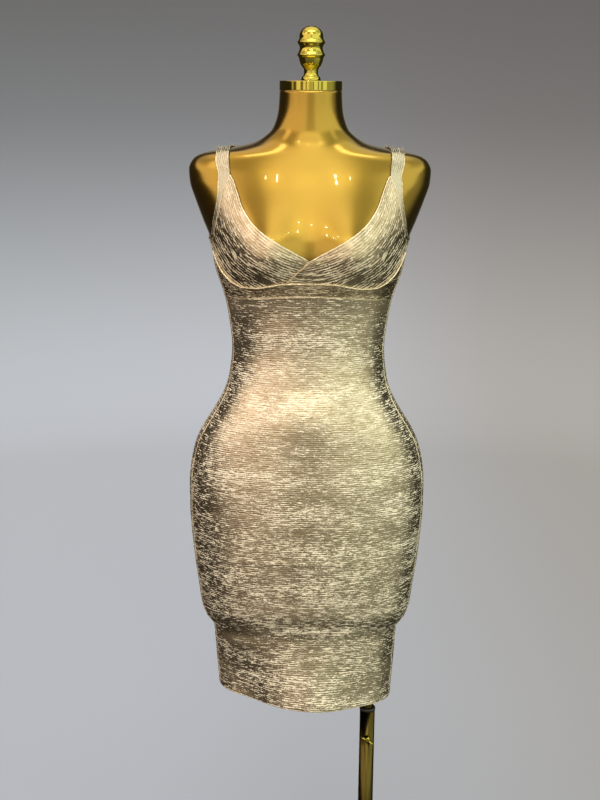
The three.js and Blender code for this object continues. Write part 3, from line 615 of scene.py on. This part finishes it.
def foil_group():
    """The broken foil on the ribs: its bright dashes, its dark cracks and the relief of the ribs."""
    tree = bpy.data.node_groups.new("foiled_ribs", "ShaderNodeTree")
    tree.interface.new_socket("Weave", in_out="INPUT", socket_type="NodeSocketVector")
    for name in ("Pitch", "Dash", "Foil", "Sway", "Lines"):
        tree.interface.new_socket(name, in_out="INPUT", socket_type="NodeSocketFloat")
    for name in ("Bright", "Dark", "Height", "Thin_and_shaded"):
        tree.interface.new_socket(name, in_out="OUTPUT", socket_type="NodeSocketFloat")
    source = tree.nodes.new("NodeGroupInput")
    result = tree.nodes.new("NodeGroupOutput")
    weave = node(tree, "ShaderNodeSeparateXYZ", {"Vector": source.outputs["Weave"]})
    along, across = weave.outputs["X"], weave.outputs["Y"]
    pitch, dash = source.outputs["Pitch"], source.outputs["Dash"]

    def spots(length, height, seed, detail):
        spot = node(tree, "ShaderNodeCombineXYZ", {
            "X": maths(tree, "DIVIDE", along, length), "Y": maths(tree, "DIVIDE", across, height), "Z": seed})
        inputs = {"Vector": spot.outputs["Vector"], "Scale": 1.0, "Detail": detail, "Roughness": 0.6}
        return node(tree, "ShaderNodeTexNoise", inputs).outputs["Fac"]

    def centred(value, share):
        return maths(tree, "MULTIPLY", maths(tree, "SUBTRACT", value, 0.5), share)

    sway = centred(spots(0.05, 0.02, 3.7, 2.0), source.outputs["Sway"])
    sway = maths(tree, "ADD", sway, centred(spots(0.005, 0.003, 6.2, 2.0), 0.8))
    rows = maths(tree, "ADD", maths(tree, "DIVIDE", across, pitch), sway)
    rib = maths(tree, "COSINE", maths(tree, "MULTIPLY", rows, 2 * math.pi))
    across = maths(tree, "MULTIPLY", rows, pitch)
    long_dash = spots(dash, maths(tree, "MULTIPLY", pitch, 0.5), 1.3, 3.0)
    short_dash = spots(maths(tree, "MULTIPLY", dash, 0.3), maths(tree, "MULTIPLY", pitch, 0.42), 8.1, 3.0)
    tone = spots(0.09, 0.03, 5.9, 2.0)
    level = maths(tree, "ADD", centred(long_dash, 1.0), centred(short_dash, 0.6))
    level = maths(tree, "ADD", level, maths(tree, "MULTIPLY", rib, source.outputs["Lines"]))
    level = maths(tree, "ADD", level, centred(tone, 0.35))
    fuller = maths(tree, "SUBTRACT", source.outputs["Foil"], 1.0)
    level = maths(tree, "ADD", level, maths(tree, "MULTIPLY", fuller, 0.15))
    tree.links.new(ramp(tree, level, 0.05, 0.13), result.inputs["Bright"])
    tree.links.new(ramp(tree, level, -0.16, -0.05, 1.0, 0.0), result.inputs["Dark"])
    # Where the foil value is low: thin foil, and also the painted shade patches in the hollows and at the waist's sides
    tree.links.new(ramp(tree, source.outputs["Foil"], 0.1, 0.8, 1.0, 0.0), result.inputs["Thin_and_shaded"])
    tree.links.new(maths(tree, "ADD", maths(tree, "MULTIPLY", rib, 0.3), level), result.inputs["Height"])
    return tree


foiled_ribs = foil_group()


def knit_material(name, pitch, dash, colours, depth, sway=0.8, lines=0.07):
    """Foiled rib knit: the dull film between, dark cracks that show the yarn, and bright dashes on the ribs."""
    made, tree, shader = new_material(name)
    weave = node(tree, "ShaderNodeUVMap", uv_map="cloth").outputs["UV"]
    density = node(tree, "ShaderNodeAttribute", attribute_name="foil").outputs["Fac"]
    inputs = {"Weave": weave, "Foil": density, "Pitch": pitch, "Dash": dash, "Sway": sway, "Lines": lines}
    ribs = node(tree, "ShaderNodeGroup", node_tree=foiled_ribs)
    for key, value in inputs.items():
        if isinstance(value, bpy.types.NodeSocket):
            tree.links.new(value, ribs.inputs[key])
        else:
            ribs.inputs[key].default_value = value
    dark, film, bright = [(*colour, 1.0) for colour in colours]
    # Low foil turns the film darker and less metallic: partly thin foil, partly painted shade in the hollows and at the
    # waist's sides
    bare = tuple(channel * 0.5 for channel in film[:3]) + (1.0,)
    thin_and_shaded_film = blend_colour(tree, ribs.outputs["Thin_and_shaded"], film, bare)
    under = blend_colour(tree, ribs.outputs["Dark"], thin_and_shaded_film, dark)
    colour = blend_colour(tree, ribs.outputs["Bright"], under, bright)
    tree.links.new(colour, shader.inputs["Base Color"])
    metal = maths(tree, "MULTIPLY_ADD", ribs.outputs["Thin_and_shaded"], -0.45, 0.96)
    metal = maths(tree, "MULTIPLY", metal, ramp(tree, ribs.outputs["Bright"], 0.0, 1.0, 1.0, 0.15))
    tree.links.new(metal, shader.inputs["Metallic"])
    tree.links.new(ramp(tree, ribs.outputs["Bright"], 0.0, 1.0, 0.24, 0.5), shader.inputs["Roughness"])
    bump = node(tree, "ShaderNodeBump", {"Height": ribs.outputs["Height"], "Strength": 0.8, "Distance": depth})
    tree.links.new(bump.outputs["Normal"], shader.inputs["Normal"])
    return made


body_knit = knit_material(
    "foil_knit_body", rib_pitch, 0.012, [(0.29, 0.235, 0.15), (0.45, 0.395, 0.295), (0.83, 0.775, 0.645)], 0.22 * mm
)


# The front and back panels: two shaped pieces of the knit, joined at the side seams and stretched over the torso.
# Below the torso the skirt hangs free in soft folds down to its hem.
clearance, cloth_thick = 1.0 * mm, 1.8 * mm
outside = clearance + cloth_thick
side_seam = 76.5
seam_gap = 0.3 * mm
skirt_leaves_at = 851 * mm
skirt_rows = np.array([
    (862, 152.2, 94, 94.8), (873, 150.6, 92, 93), (905, 148.5, 90.5, 92),
    (930, 147, 90, 91), (956, 145, 90.5, 90), (980, 143.5, 91.5, 90),
]) * mm
hem_drop, hem_tilt = skirt_rows[-1, 0], 6.5 * mm
hem_lift, hem_lift_angle, hem_lift_span = 9 * mm, -92, 56
skirt_folds = [(5, 30, 8.5), (-43, 33, -14), (46, 32, -3.5), (138, 30, -5), (180, 28, 4), (-136, 30, -6)]
on_torso = torso_rows[torso_rows[:, 0] <= skirt_leaves_at] + np.array([0, outside, outside, outside])
dress_section = flowing(np.vstack([on_torso, skirt_rows]))

# Soft creases of the stretched knit: place round and down, half lengths each way, and depth
creases = [
    (-44, 869, 34, 7, -0.6), (30, 869, 40, 6, -0.4), (-62, 883, 20, 8, -0.6), (58, 879, 22, 7, -0.4),
    (0, 883, 30, 7, 0.4), (-70, 908, 22, 10, -1.0), (66, 911, 20, 12, -1.2), (-8, 726, 70, 5, 0.45),
    (-58, 424, 26, 6, 0.5), (-62, 446, 22, 5, 0.4), (60, 418, 26, 6, 0.5), (150, 410, 50, 7, 0.8),
    (206, 428, 50, 7, 0.8), (180, 446, 60, 8, 0.9), (164, 386, 40, 6, 0.6), (198, 396, 44, 6, 0.6),
    (110, 430, 30, 6, 0.5), (250, 436, 30, 6, 0.5), (160, 874, 44, 7, -1.5), (206, 880, 44, 7, -1.4),
    (120, 890, 26, 8, -1.2), (240, 894, 26, 8, -1.2),
]


def turn_between(angle, other):
    """The angle between two places round the body."""
    return np.abs((angle - other + 180) % 360 - 180)


def swell(away, reach):
    """A soft swell: 1 at its middle and 0 from its reach on."""
    return (1 + np.cos(math.pi * np.minimum(away / reach, 1))) / 2


def dress_points(angle, drop, layer):
    """Points of the dress at angles and drops, on its inner layer at 0 and its outer one at 1."""
    angle, drop = np.broadcast_arrays(np.asarray(angle, float), np.asarray(drop, float))
    share = eased((drop - skirt_rows[0, 0]) / (hem_drop - skirt_rows[0, 0]))
    offset = (layer - 1) * cloth_thick + np.zeros_like(drop)
    for place, span, depth in skirt_folds:
        offset = offset + share * depth * mm * swell(turn_between(angle, place), span)
    for place, down, across, tall, depth in creases:
        crease = swell(turn_between(angle, place), across) * swell(np.abs(drop - down * mm), tall * mm)
        offset = offset + depth * mm * crease
    points = section_points(dress_section(drop), drop, angle, offset)
    lift = hem_lift * swell(turn_between(angle, hem_lift_angle), hem_lift_span)
    points[..., 2] += share * (lift - hem_tilt * np.sin(np.radians(angle)))
    return points


def cloth_shell(name, outer, inner, weave, foil, material, **fixing):
    """A closed thin wall between two grids of points, whose rows run down and columns run to the right."""
    rows, columns = outer.shape[:2]
    start = rows * columns
    row, column = np.meshgrid(np.arange(rows - 1), np.arange(columns - 1), indexing="ij")
    corner = (row * columns + column).ravel()
    front = np.stack([corner, corner + columns, corner + columns + 1, corner + 1], axis=-1)
    back = np.stack([corner, corner + 1, corner + columns + 1, corner + columns], axis=-1) + start
    rim = np.concatenate([
        np.arange(columns), np.arange(2, rows + 1) * columns - 1,
        np.arange(rows * columns - 2, (rows - 1) * columns - 1, -1), np.arange(rows - 2, 0, -1) * columns,
    ])
    after = np.roll(rim, -1)
    edge = np.stack([rim, after, after + start, rim + start], axis=-1)
    return mesh_object(
        name,
        np.vstack([outer.reshape(-1, 3), inner.reshape(-1, 3)]),
        np.vstack([front, back, edge]).tolist(),
        material,
        "form",
        cloth_uv=np.vstack([weave.reshape(-1, 2)] * 2),
        foil=np.tile(np.broadcast_to(foil, (rows, columns)).ravel(), 2),
        **fixing,
    )


def run_along(points, axis):
    """The distance along a grid of points in one direction, from its first line."""
    steps = np.linalg.norm(np.diff(points, axis=axis), axis=-1)
    start = np.zeros_like(np.take(steps, [0], axis=axis))
    return np.concatenate([start, np.cumsum(steps, axis=axis)], axis=axis)


def band_seam_drop(angle):
    """The seam under the band, lower at the sides."""
    return (306 + (322 - 306) * (1 - np.cos(np.radians(angle * 1.8))) / 2) * mm


def back_edge_drop(angle):
    """The top edge of the back: up from the underarm to the strap, and down again to the centre back."""
    off = turn_between(angle, 180)
    to_strap = 224 + (204 - 224) * eased(off / 46)
    to_side = 204 + (232 - 204) * eased((off - 46) / (180 - side_seam - 46))
    return np.where(off < 46, to_strap, to_side) * mm


def foil_and_shade_density(angle, drop):
    """How much foil lies on the knit, lowered also to paint shade: painted shade just under the band, at a dip low on
    the belly, under the torso's lower edge and in the skirt's folds front and back; at the waist's sides, thinner foil
    where the knit stretches it open, together with painted shade.
    """
    density = np.ones(np.broadcast(angle, drop).shape)
    for place, down, across, tall, less in (
        (-84, 350, 52, 110, 0.5), (84, 350, 58, 110, 0.5), (0, 318, 120, 26, 0.35), (0, 545, 44, 50, 0.35),
        (-46, 876, 32, 20, 0.62), (30, 872, 40, 14, 0.45), (-66, 940, 18, 34, 0.5),
        (70, 930, 18, 30, 0.6), (150, 885, 60, 16, 0.7), (215, 890, 50, 18, 0.8),
    ):
        off = np.clip(turn_between(angle, place) / across, 0, 1)
        fall = np.clip(np.abs(drop - down * mm) / (tall * mm), 0, 1)
        density = density - less * (1 - off**2) * (1 - fall**2)
    return np.clip(density, 0, 1.2)


def body_panel(name, start, end, top_drop, columns, rows, node_name):
    """One panel of the body, from its top edge to the hem."""
    inset = math.degrees(seam_gap / 2 / (117 * mm))
    angles = np.linspace(start + inset, end - inset, columns)[None, :]
    drops = top_drop(angles) + (hem_drop - top_drop(angles)) * np.linspace(0, 1, rows)[:, None]
    outer = dress_points(angles, drops, 1)
    middle = np.argmin(np.abs((angles[0] + 90) % 180 - 90))
    along = run_along(outer, 1)
    weave = np.stack([along - along[:, middle:middle + 1], -drops], axis=-1)
    # This foil value carries painted shade in the hollows and at the waist's sides as well as thinner foil
    foil = foil_and_shade_density(angles, drops)
    inner = dress_points(angles, drops, 0)
    return cloth_shell(name, outer, inner, weave, foil, body_knit, replaced=[node_name], slot="foil_knit")


front_cloth = body_panel("front_panel_knit", -side_seam, side_seam, band_seam_drop, 112, 236, "front_panel")
back_cloth = body_panel("back_panel_knit", side_seam, 360 - side_seam, back_edge_drop, 130, 262, "back_panel")

edge_knit = knit_material(
    "foil_knit_edge", 1.1 * mm, 0.006, [(0.36, 0.29, 0.18), (0.66, 0.56, 0.39), (0.93, 0.86, 0.68)], 0.3 * mm
)


def rolled_edge(name, path, radius, material=edge_knit, sides=10, foil=1.15):
    """A round rolled edge or seam along a path, with a domed end at both ends."""
    path = np.asarray(path, float)
    radii = np.broadcast_to(radius, len(path)).astype(float)
    tangents = np.gradient(path, axis=0)
    tangents /= np.linalg.norm(tangents, axis=1)[:, None]
    side = np.cross(tangents[0], (0.3, -0.8, 0.52))
    rings, weave = [], []
    ends = [(0, -0.9, 0.35), (0, -0.55, 0.8)], [(-1, 0.55, 0.8), (-1, 0.9, 0.35)]
    stations = [(i, push, scale) for i, push, scale in ends[0]]
    stations += [(i, 0.0, 1.0) for i in range(len(path))]
    stations += [(i, push, scale) for i, push, scale in ends[1]]
    lengths = run_along(path[:, None, :], 0)[:, 0]
    turns = np.arange(sides) * 2 * math.pi / sides
    for i, push, scale in stations:
        side = side - tangents[i] * (side @ tangents[i])
        side = side / np.linalg.norm(side)
        other = np.cross(tangents[i], side)
        centre = path[i] + tangents[i] * push * radii[i]
        spokes = np.outer(np.cos(turns), side) + np.outer(np.sin(turns), other)
        rings.append(centre + spokes * radii[i] * scale)
        weave.append(np.column_stack([np.full(sides, lengths[i] + push * radii[i]), turns * radii[i]]))
    points, faces = ring_stack(np.array(rings))
    faces = [tuple(reversed(face)) for face in faces]
    weave = np.vstack([*weave, weave[0].mean(0), weave[-1].mean(0)])
    return mesh_object(
        name, points, faces, material, "form", slot="foil_knit", cloth_uv=weave, foil=np.full(len(points), foil)
    )


def ring_path(start, end, count, drop_at, push):
    """Points round the outside of the dress between two angles."""
    angles = np.linspace(start, end, count)
    return dress_points(angles, drop_at(angles), 1 + push / cloth_thick)


seam_drops = np.linspace(236, 978, 260) * mm
side_seams = [
    rolled_edge(f"side_seam_{side}", dress_points(turn, seam_drops, 1 - 0.25 / 1.8), 0.85 * mm)
    for side, turn in (("left", side_seam), ("right", -side_seam))
]
hem_roll = rolled_edge(
    "hem_roll", ring_path(0.4, 359.6, 300, lambda angles: hem_drop + 0 * angles, -0.9 * mm), 1.15 * mm, foil=0.75
)
back_roll = rolled_edge(
    "back_edge_roll", ring_path(side_seam, 360 - side_seam, 150, back_edge_drop, -0.8 * mm), 1.1 * mm
)
band_roll = rolled_edge(
    "band_seam_roll", ring_path(-side_seam, side_seam, 120, band_seam_drop, -0.45 * mm), 0.75 * mm, foil=0.8
)


# The band under the cups: a shaped strip of the knit, with its ribs level, set between the cups and the body.
# The rolled piping over its top seam is a bias strip of the same knit.
half_at = flowing(torso_rows[:, :2])


def front_points(x, drop, offset):
    """Points on the front of the torso at x and drop, moved out by an offset."""
    x, drop, offset = np.broadcast_arrays(x, drop, offset)
    return body_points(np.degrees(np.arcsin(np.clip(x / half_at(drop)[..., 0], -1, 1))), drop, offset)


def smooth_line(rows, count=400):
    """Evenly spaced points of x and drop on a smooth line through rows in mm."""
    rows = np.asarray(rows, float) * mm
    knots = np.arange(len(rows))
    line = flowing(np.column_stack([knots, rows]))(np.linspace(0, len(rows) - 1, 40 * len(rows)))
    return spaced(line, count)


side_share = math.sin(math.radians(side_seam))
piping_end_drop = 247
piping_end_x = float(half_at(piping_end_drop * mm)[0]) * side_share / mm
lower_seam_rows = [
    (piping_end_x, piping_end_drop), (134.6, 266), (125, 280), (112, 290.5), (96, 296), (78, 295.5),
    (55, 291), (34, 287),
]
wrap_x, wrap_drop, wrap_ease = 34 * mm, 286.5 * mm, 17 * mm
v_drop = 252 * mm
far_seam_rows = [(-x, drop) for x, drop in reversed(lower_seam_rows)]
full_seam = smooth_line([*lower_seam_rows, (0, 286.5), *far_seam_rows], 180)[::-1]


def wrap_lift(x, drop):
    """How far the wearer's left cup is lifted where it lies over the right one."""
    past = (drop - v_drop - x) / math.sqrt(2)
    return (cloth_thick + seam_gap) * eased((past + wrap_ease) / (wrap_ease - 2 * cloth_thick))


band_top_x, band_top_drop = full_seam[:, 0], full_seam[:, 1] + seam_gap
band_angles = np.degrees(np.arcsin(np.clip(band_top_x / half_at(band_top_drop)[:, 0], -side_share, side_share)))
band_rows = np.linspace(0, 1, 40)[:, None]
band_low = band_seam_drop(band_angles) - seam_gap
band_drops = band_top_drop[None, :] + (band_low - band_top_drop)[None, :] * band_rows
band_outer = body_points(band_angles[None, :], band_drops, outside)
band_weave = np.stack([run_along(band_outer, 1), -band_drops], axis=-1)
band_knit = knit_material(
    "foil_knit_band", 2.2 * mm, 0.012, [(0.16, 0.12, 0.07), (0.46, 0.38, 0.25), (0.80, 0.71, 0.53)], 0.3 * mm
)
band_cloth = cloth_shell(
    "underbust_band_knit", band_outer, body_points(band_angles[None, :], band_drops, clearance), band_weave,
    0.72, band_knit, replaced=["underbust_band"], slot="foil_knit",
)
piping_radius = 1.3 * mm
over_wrap_end = 1 - eased((-full_seam[:, 0] - wrap_x) / wrap_ease)
piping_lift = wrap_lift(full_seam[:, 0], full_seam[:, 1]) * over_wrap_end
piping_path = front_points(full_seam[:, 0], full_seam[:, 1], outside + seam_gap + 0.7 * piping_radius + piping_lift)
near_centre = eased(np.abs(full_seam[:, 0]) / (46 * mm))
piping = rolled_edge("underbust_piping_roll", piping_path, piping_radius * (0.62 + 0.38 * near_centre), sides=14)
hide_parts("underbust_piping")


# The cups: each is cut from the knit with its ribs turned to run down from the strap, level with the neckline.
# The wearer's left cup laps over the right one, and both necklines are bound with a rolled edge.
neckline_rows = [
    (116.9, 130.5), (113.2, 137), (110, 145.5), (106, 157), (100.6, 172.3), (93.2, 185.5), (83.5, 198), (68, 211.5),
    (42, 228), (18, 241.5), (0, 252),
]
strap_seam_rows = [(117.6, 130), (120.6, 137), (124.6, 146), (128.4, 156), (132.8, 178), (138, 200), (142.8, 220)]
underarm_drop = 232
cup_columns, cup_rows_count = 150, 112
cup_rib_pitch, cup_rib_depth = 4.1 * mm, 0.5 * mm
neckline_line = smooth_line(neckline_rows, cup_columns)
strap_seam_line = smooth_line(strap_seam_rows, 60)
cup_seam_line = smooth_line(lower_seam_rows, 90)
cup_side = [
    (float(half_at(drop * mm)[0]) * side_share - seam_gap / 2, drop * mm)
    for drop in (underarm_drop, piping_end_drop - 0.6)
]
cup_edge_line = spaced(
    np.vstack([
        strap_seam_line - (seam_gap / 2, 0), cup_side, cup_seam_line[2:] - (0, seam_gap),
        [(x, wrap_drop - seam_gap) for x in np.linspace(wrap_x * 0.9, -wrap_x, 20)],
    ]),
    cup_columns,
)
cup_knit = knit_material(
    "foil_knit_cups", cup_rib_pitch, 0.022, [(0.27, 0.22, 0.14), (0.41, 0.345, 0.235), (0.72, 0.645, 0.505)],
    0.25 * mm, sway=0.25, lines=0.10,
)


def rib_profile(across, pitch):
    """The height of a rib's round back, from 0 in the groove to 1 on its crown."""
    return np.abs(np.sin(math.pi * across / pitch)) ** 0.8


def cup(name, side, node_name):
    """One cup, in lines between its neckline and its outer and lower edge; side is 1 for the wearer's left."""
    shares = np.linspace(0, 1, cup_rows_count)[:, None, None]
    plan = neckline_line[None] + (cup_edge_line - neckline_line)[None] * shares
    x, drop = plan[..., 0], plan[..., 1]
    lengths = np.linalg.norm(cup_edge_line - neckline_line, axis=1)
    crowding = np.interp(np.linspace(0, 1, cup_columns), [0, 0.2, 0.5, 1], [0.6, 0.75, 0.95, 1.0])
    across = shares[..., 0] * (lengths / crowding)[None, :]
    lift = wrap_lift(x, drop) if side > 0 else 0 * x
    ribs = rib_profile(across, cup_rib_pitch)
    bare = eased(shares[..., 0] / 0.02) * eased((1 - shares[..., 0]) / 0.02)
    outer_offset = outside - cup_rib_depth * (1 - ribs) * bare + lift
    outer = front_points(side * x, drop, outer_offset)
    inner = front_points(side * x, drop, clearance + lift)
    middle = run_along(outer, 1)[cup_rows_count // 2]
    weave = np.stack([np.broadcast_to(middle, across.shape), across], axis=-1)
    if side > 0:
        outer, inner, weave = outer[:, ::-1], inner[:, ::-1], weave[:, ::-1]
    made = cloth_shell(name, outer, inner, weave, 1.0, cup_knit, replaced=[node_name], slot="foil_knit")
    return made


cup_right = cup("cup_right_knit", -1, "cup_right")
cup_left = cup("cup_left_knit", 1, "cup_left")

right_edge_path = front_points(-neckline_line[:, 0], neckline_line[:, 1], outside - 0.5 * mm)[:-3]
wrap_edge_line = spaced(np.array([(0, v_drop), (-wrap_x, wrap_drop - seam_gap)]), 30)[1:]
left_line = np.vstack([neckline_line, wrap_edge_line])
left_edge_path = front_points(
    left_line[:, 0], left_line[:, 1], outside - 0.5 * mm + wrap_lift(left_line[:, 0], left_line[:, 1])
)
cup_right_edge = rolled_edge("cup_right_edge", right_edge_path, 1.0 * mm)
cup_left_edge = rolled_edge("cup_left_edge", spaced(left_edge_path, 200), 1.0 * mm)


# The straps: ribbed bands that run up along the armholes, over the shoulders and down to the back's top edge.
# Their rolled seams join them to the cups, and cut threads of the knit stand off their edges at the shoulders.
armhole_rows = [(134.6, 131), (135.2, 155), (138.4, 178), (142.4, 200), (145.6, 220)]
strap_top_x, strap_back_x = (120.8, 139.4), (99, 117)
pivot_drop = 140 * mm
back_drift = 0.55
strap_columns, strap_rows = 46, 210
# Drops in mm of the strap's back end, the two ends of its run over the shoulder, and its front tip
back_end, back_shoulder, front_shoulder, front_tip = 203.7, 146, 140, 220
tip_seam_drop = 132 * mm
strap_rib_pitch, strap_rib_depth = 3.1 * mm, 0.3 * mm
strap_seam_at = flowing(np.array([(drop, x) for x, drop in strap_seam_rows]) * mm)
armhole_at = flowing(np.array([(drop, x) for x, drop in armhole_rows]) * mm)
strap_knit = knit_material(
    "foil_knit_strap", strap_rib_pitch, 0.009, [(0.35, 0.31, 0.22), (0.40, 0.365, 0.275), (0.46, 0.43, 0.345)],
    0.15 * mm, sway=0.1, lines=0.14,
)


def torso_level(points):
    """The torso's level at points: under 1 inside it, and 1 on its surface."""
    section = torso_section(cap_level - points[..., 2])
    across = np.abs(points[..., 0]) / section[..., 0]
    forward = -points[..., 1] - bust_at(points[..., 0], cap_level - points[..., 2], section[..., 0])
    depth = np.where(points[..., 1] > 0, points[..., 1] / section[..., 2], forward / section[..., 1])
    return across**roundness + np.maximum(depth, 0) ** roundness


def shoulder_points(x, turn, offset):
    """Where rays from inside the shoulder leave the torso, moved out square to its surface."""
    turn = np.radians(turn)
    origin = np.stack([x, 0 * x, 0 * x + cap_level - pivot_drop], axis=-1)
    way = np.stack([0 * x, -np.cos(turn), np.sin(turn)], axis=-1)
    low, high = np.zeros(x.shape), np.full(x.shape, 0.15)
    for _ in range(36):
        reach = (low + high) / 2
        inside = torso_level(origin + way * reach[..., None]) < 1
        low, high = np.where(inside, reach, low), np.where(inside, high, reach)
    hit = origin + way * low[..., None]
    slope = np.stack([torso_level(hit + axis) - torso_level(hit - axis) for axis in np.eye(3) * mm], axis=-1)
    return hit + slope / np.linalg.norm(slope, axis=-1)[..., None] * offset[..., None]


def strap_lines(shares, offsets, side):
    """Lines along a strap, one for each share across it, from its back end to its front tip."""
    back_drops = np.linspace(back_end, back_shoulder, 8)[:, None] * mm
    turns = np.linspace(176, 8, 40)[:, None]
    front_drops = np.linspace(front_shoulder, front_tip, 14)[:, None] * mm

    def across(inner, outer):
        return inner + (outer - inner) * shares[None, :]

    drift = 1 + (back_drift - 1) * (back_end * mm - back_drops) / (back_end * mm - pivot_drop)
    tops = [(top + (back - top) * drift) * mm for top, back in zip(strap_top_x, strap_back_x)]
    x = across(*tops)
    angles = 180 - np.degrees(np.arcsin(x / half_at(back_drops + 0 * x)[..., 0]))
    back = body_points(side * angles, back_drops, offsets[None, :])
    drift = eased((turns - 90) / 78) * back_drift
    seam_x = float(strap_seam_at(tip_seam_drop)[0]) / mm + 0.15
    armhole_x = float(armhole_at(tip_seam_drop)[0]) / mm
    to_front = eased((34 - turns) / 28)
    tops = [top + (low - top) * drift for top, low in zip(strap_top_x, strap_back_x)]
    tops = [(top + (low - top) * to_front) * mm for top, low in zip(tops, (seam_x, armhole_x))]
    over = shoulder_points(side * across(*tops), turns + 0 * shares[None, :], offsets[None, :] + 0.3 * mm + 0 * turns)
    x = across(strap_seam_at(front_drops)[..., 0] + seam_gap / 2, armhole_at(front_drops)[..., 0])
    front = front_points(side * x, front_drops, offsets[None, :])
    lines = np.vstack([back, over, front])
    made = []
    for i in range(lines.shape[1]):
        line = lines[:, i]
        runs = run_along(line[:, None], 0)[:, 0]
        smooth = flowing(np.column_stack([runs, line]))(np.linspace(0, runs[-1], 1200))
        made.append(spaced(smooth, strap_rows))
    return np.stack(made, axis=1)


def strap(name, side, node_name):
    """One strap with its lengthwise ribs; side is 1 for the wearer's left."""
    shares = np.linspace(0, 1, strap_columns)
    flat = strap_lines(shares, np.full(strap_columns, outside), side)
    inner = strap_lines(shares, np.full(strap_columns, clearance), side)
    from_outside = run_along(flat[:, ::-1], 1)[:, ::-1]
    grooves = (1 - rib_profile(from_outside, strap_rib_pitch)) * strap_rib_depth / cloth_thick
    grooves[:, [0, -1]] = 0
    outer = flat + (inner - flat) * grooves[..., None]
    weave = np.stack([run_along(flat, 0), from_outside], axis=-1)
    if side < 0:
        outer, inner, weave = outer[:, ::-1], inner[:, ::-1], weave[:, ::-1]
    made = cloth_shell(name, outer, inner, weave, 1.1, strap_knit, replaced=[node_name], slot="foil_knit")
    return made, flat


strap_right, right_lines = strap("strap_right_knit", -1, "strap_right")
strap_left, left_lines = strap("strap_left_knit", 1, "strap_left")
strap_trims = {}
for label, side, lines in (("right", -1, right_lines), ("left", 1, left_lines)):
    seam_line = np.column_stack([strap_seam_line, np.full(len(strap_seam_line), outside - 0.15 * mm)])
    seam_path = front_points(side * seam_line[:, 0], seam_line[:, 1], seam_line[:, 2])
    strap_trims[label] = [
        rolled_edge(f"strap_seam_{label}", seam_path, 0.8 * mm),
        rolled_edge(f"armhole_edge_{label}", lines[:, -1], 0.75 * mm),
    ]


thread_count, thread_radius = 46, 0.24 * mm
thread_rows = (70, 142)


def thread_ends(name, lines, seed):
    """Short cut threads of the knit that stand off a strap's edges and ribs over the shoulder."""
    chance = np.random.default_rng(seed)
    points, faces = [], []
    last = strap_columns - 1
    for _ in range(thread_count):
        row = int(chance.integers(*thread_rows))
        middle = int(chance.integers(2, strap_columns - 2))
        column = int(chance.choice([0, 0, last, last, middle]))
        root = lines[row, column]
        outward = root - Vector((root[0], 0, cap_level - pivot_drop))
        outward = np.array(outward) / np.linalg.norm(outward)
        away = 0.0 if 0 < column < last else (1.0 if column else -1.0) * np.sign(root[0])
        way = outward * chance.uniform(0.4, 1.0) + np.array([away, 0, 0]) * chance.uniform(0.2, 0.9)
        way += chance.normal(0, 0.35, 3)
        way /= np.linalg.norm(way)
        bend = np.cross(way, chance.normal(0, 1, 3)) * chance.uniform(0.2, 0.7)
        length = chance.uniform(1.6, 4.6) * mm
        steps = np.linspace(0, 1, 6)[:, None]
        path = root + way * length * steps + bend * length * steps**2 * 0.5
        side = np.cross(way, outward + 0.01)
        side /= np.linalg.norm(side)
        other = np.cross(way, side)
        turns = np.arange(5) * 2 * math.pi / 5
        spokes = np.outer(np.cos(turns), side) + np.outer(np.sin(turns), other)
        radii = thread_radius * (1 - 0.55 * steps)
        rings = path[:, None, :] + spokes[None] * radii[..., None]
        made, joins = ring_stack(rings)
        base = len(points)
        points += [tuple(p) for p in made]
        faces += [tuple(i + base for i in reversed(face)) for face in joins]
    weave = np.array(points)[:, [2, 0]]
    return mesh_object(
        name, points, faces, strap_knit, "form", slot="foil_knit", cloth_uv=weave, foil=np.full(len(points), 1.3)
    )


strap_trims["right"].append(thread_ends("strap_threads_right", right_lines, 11))
strap_trims["left"].append(thread_ends("strap_threads_left", left_lines, 23))
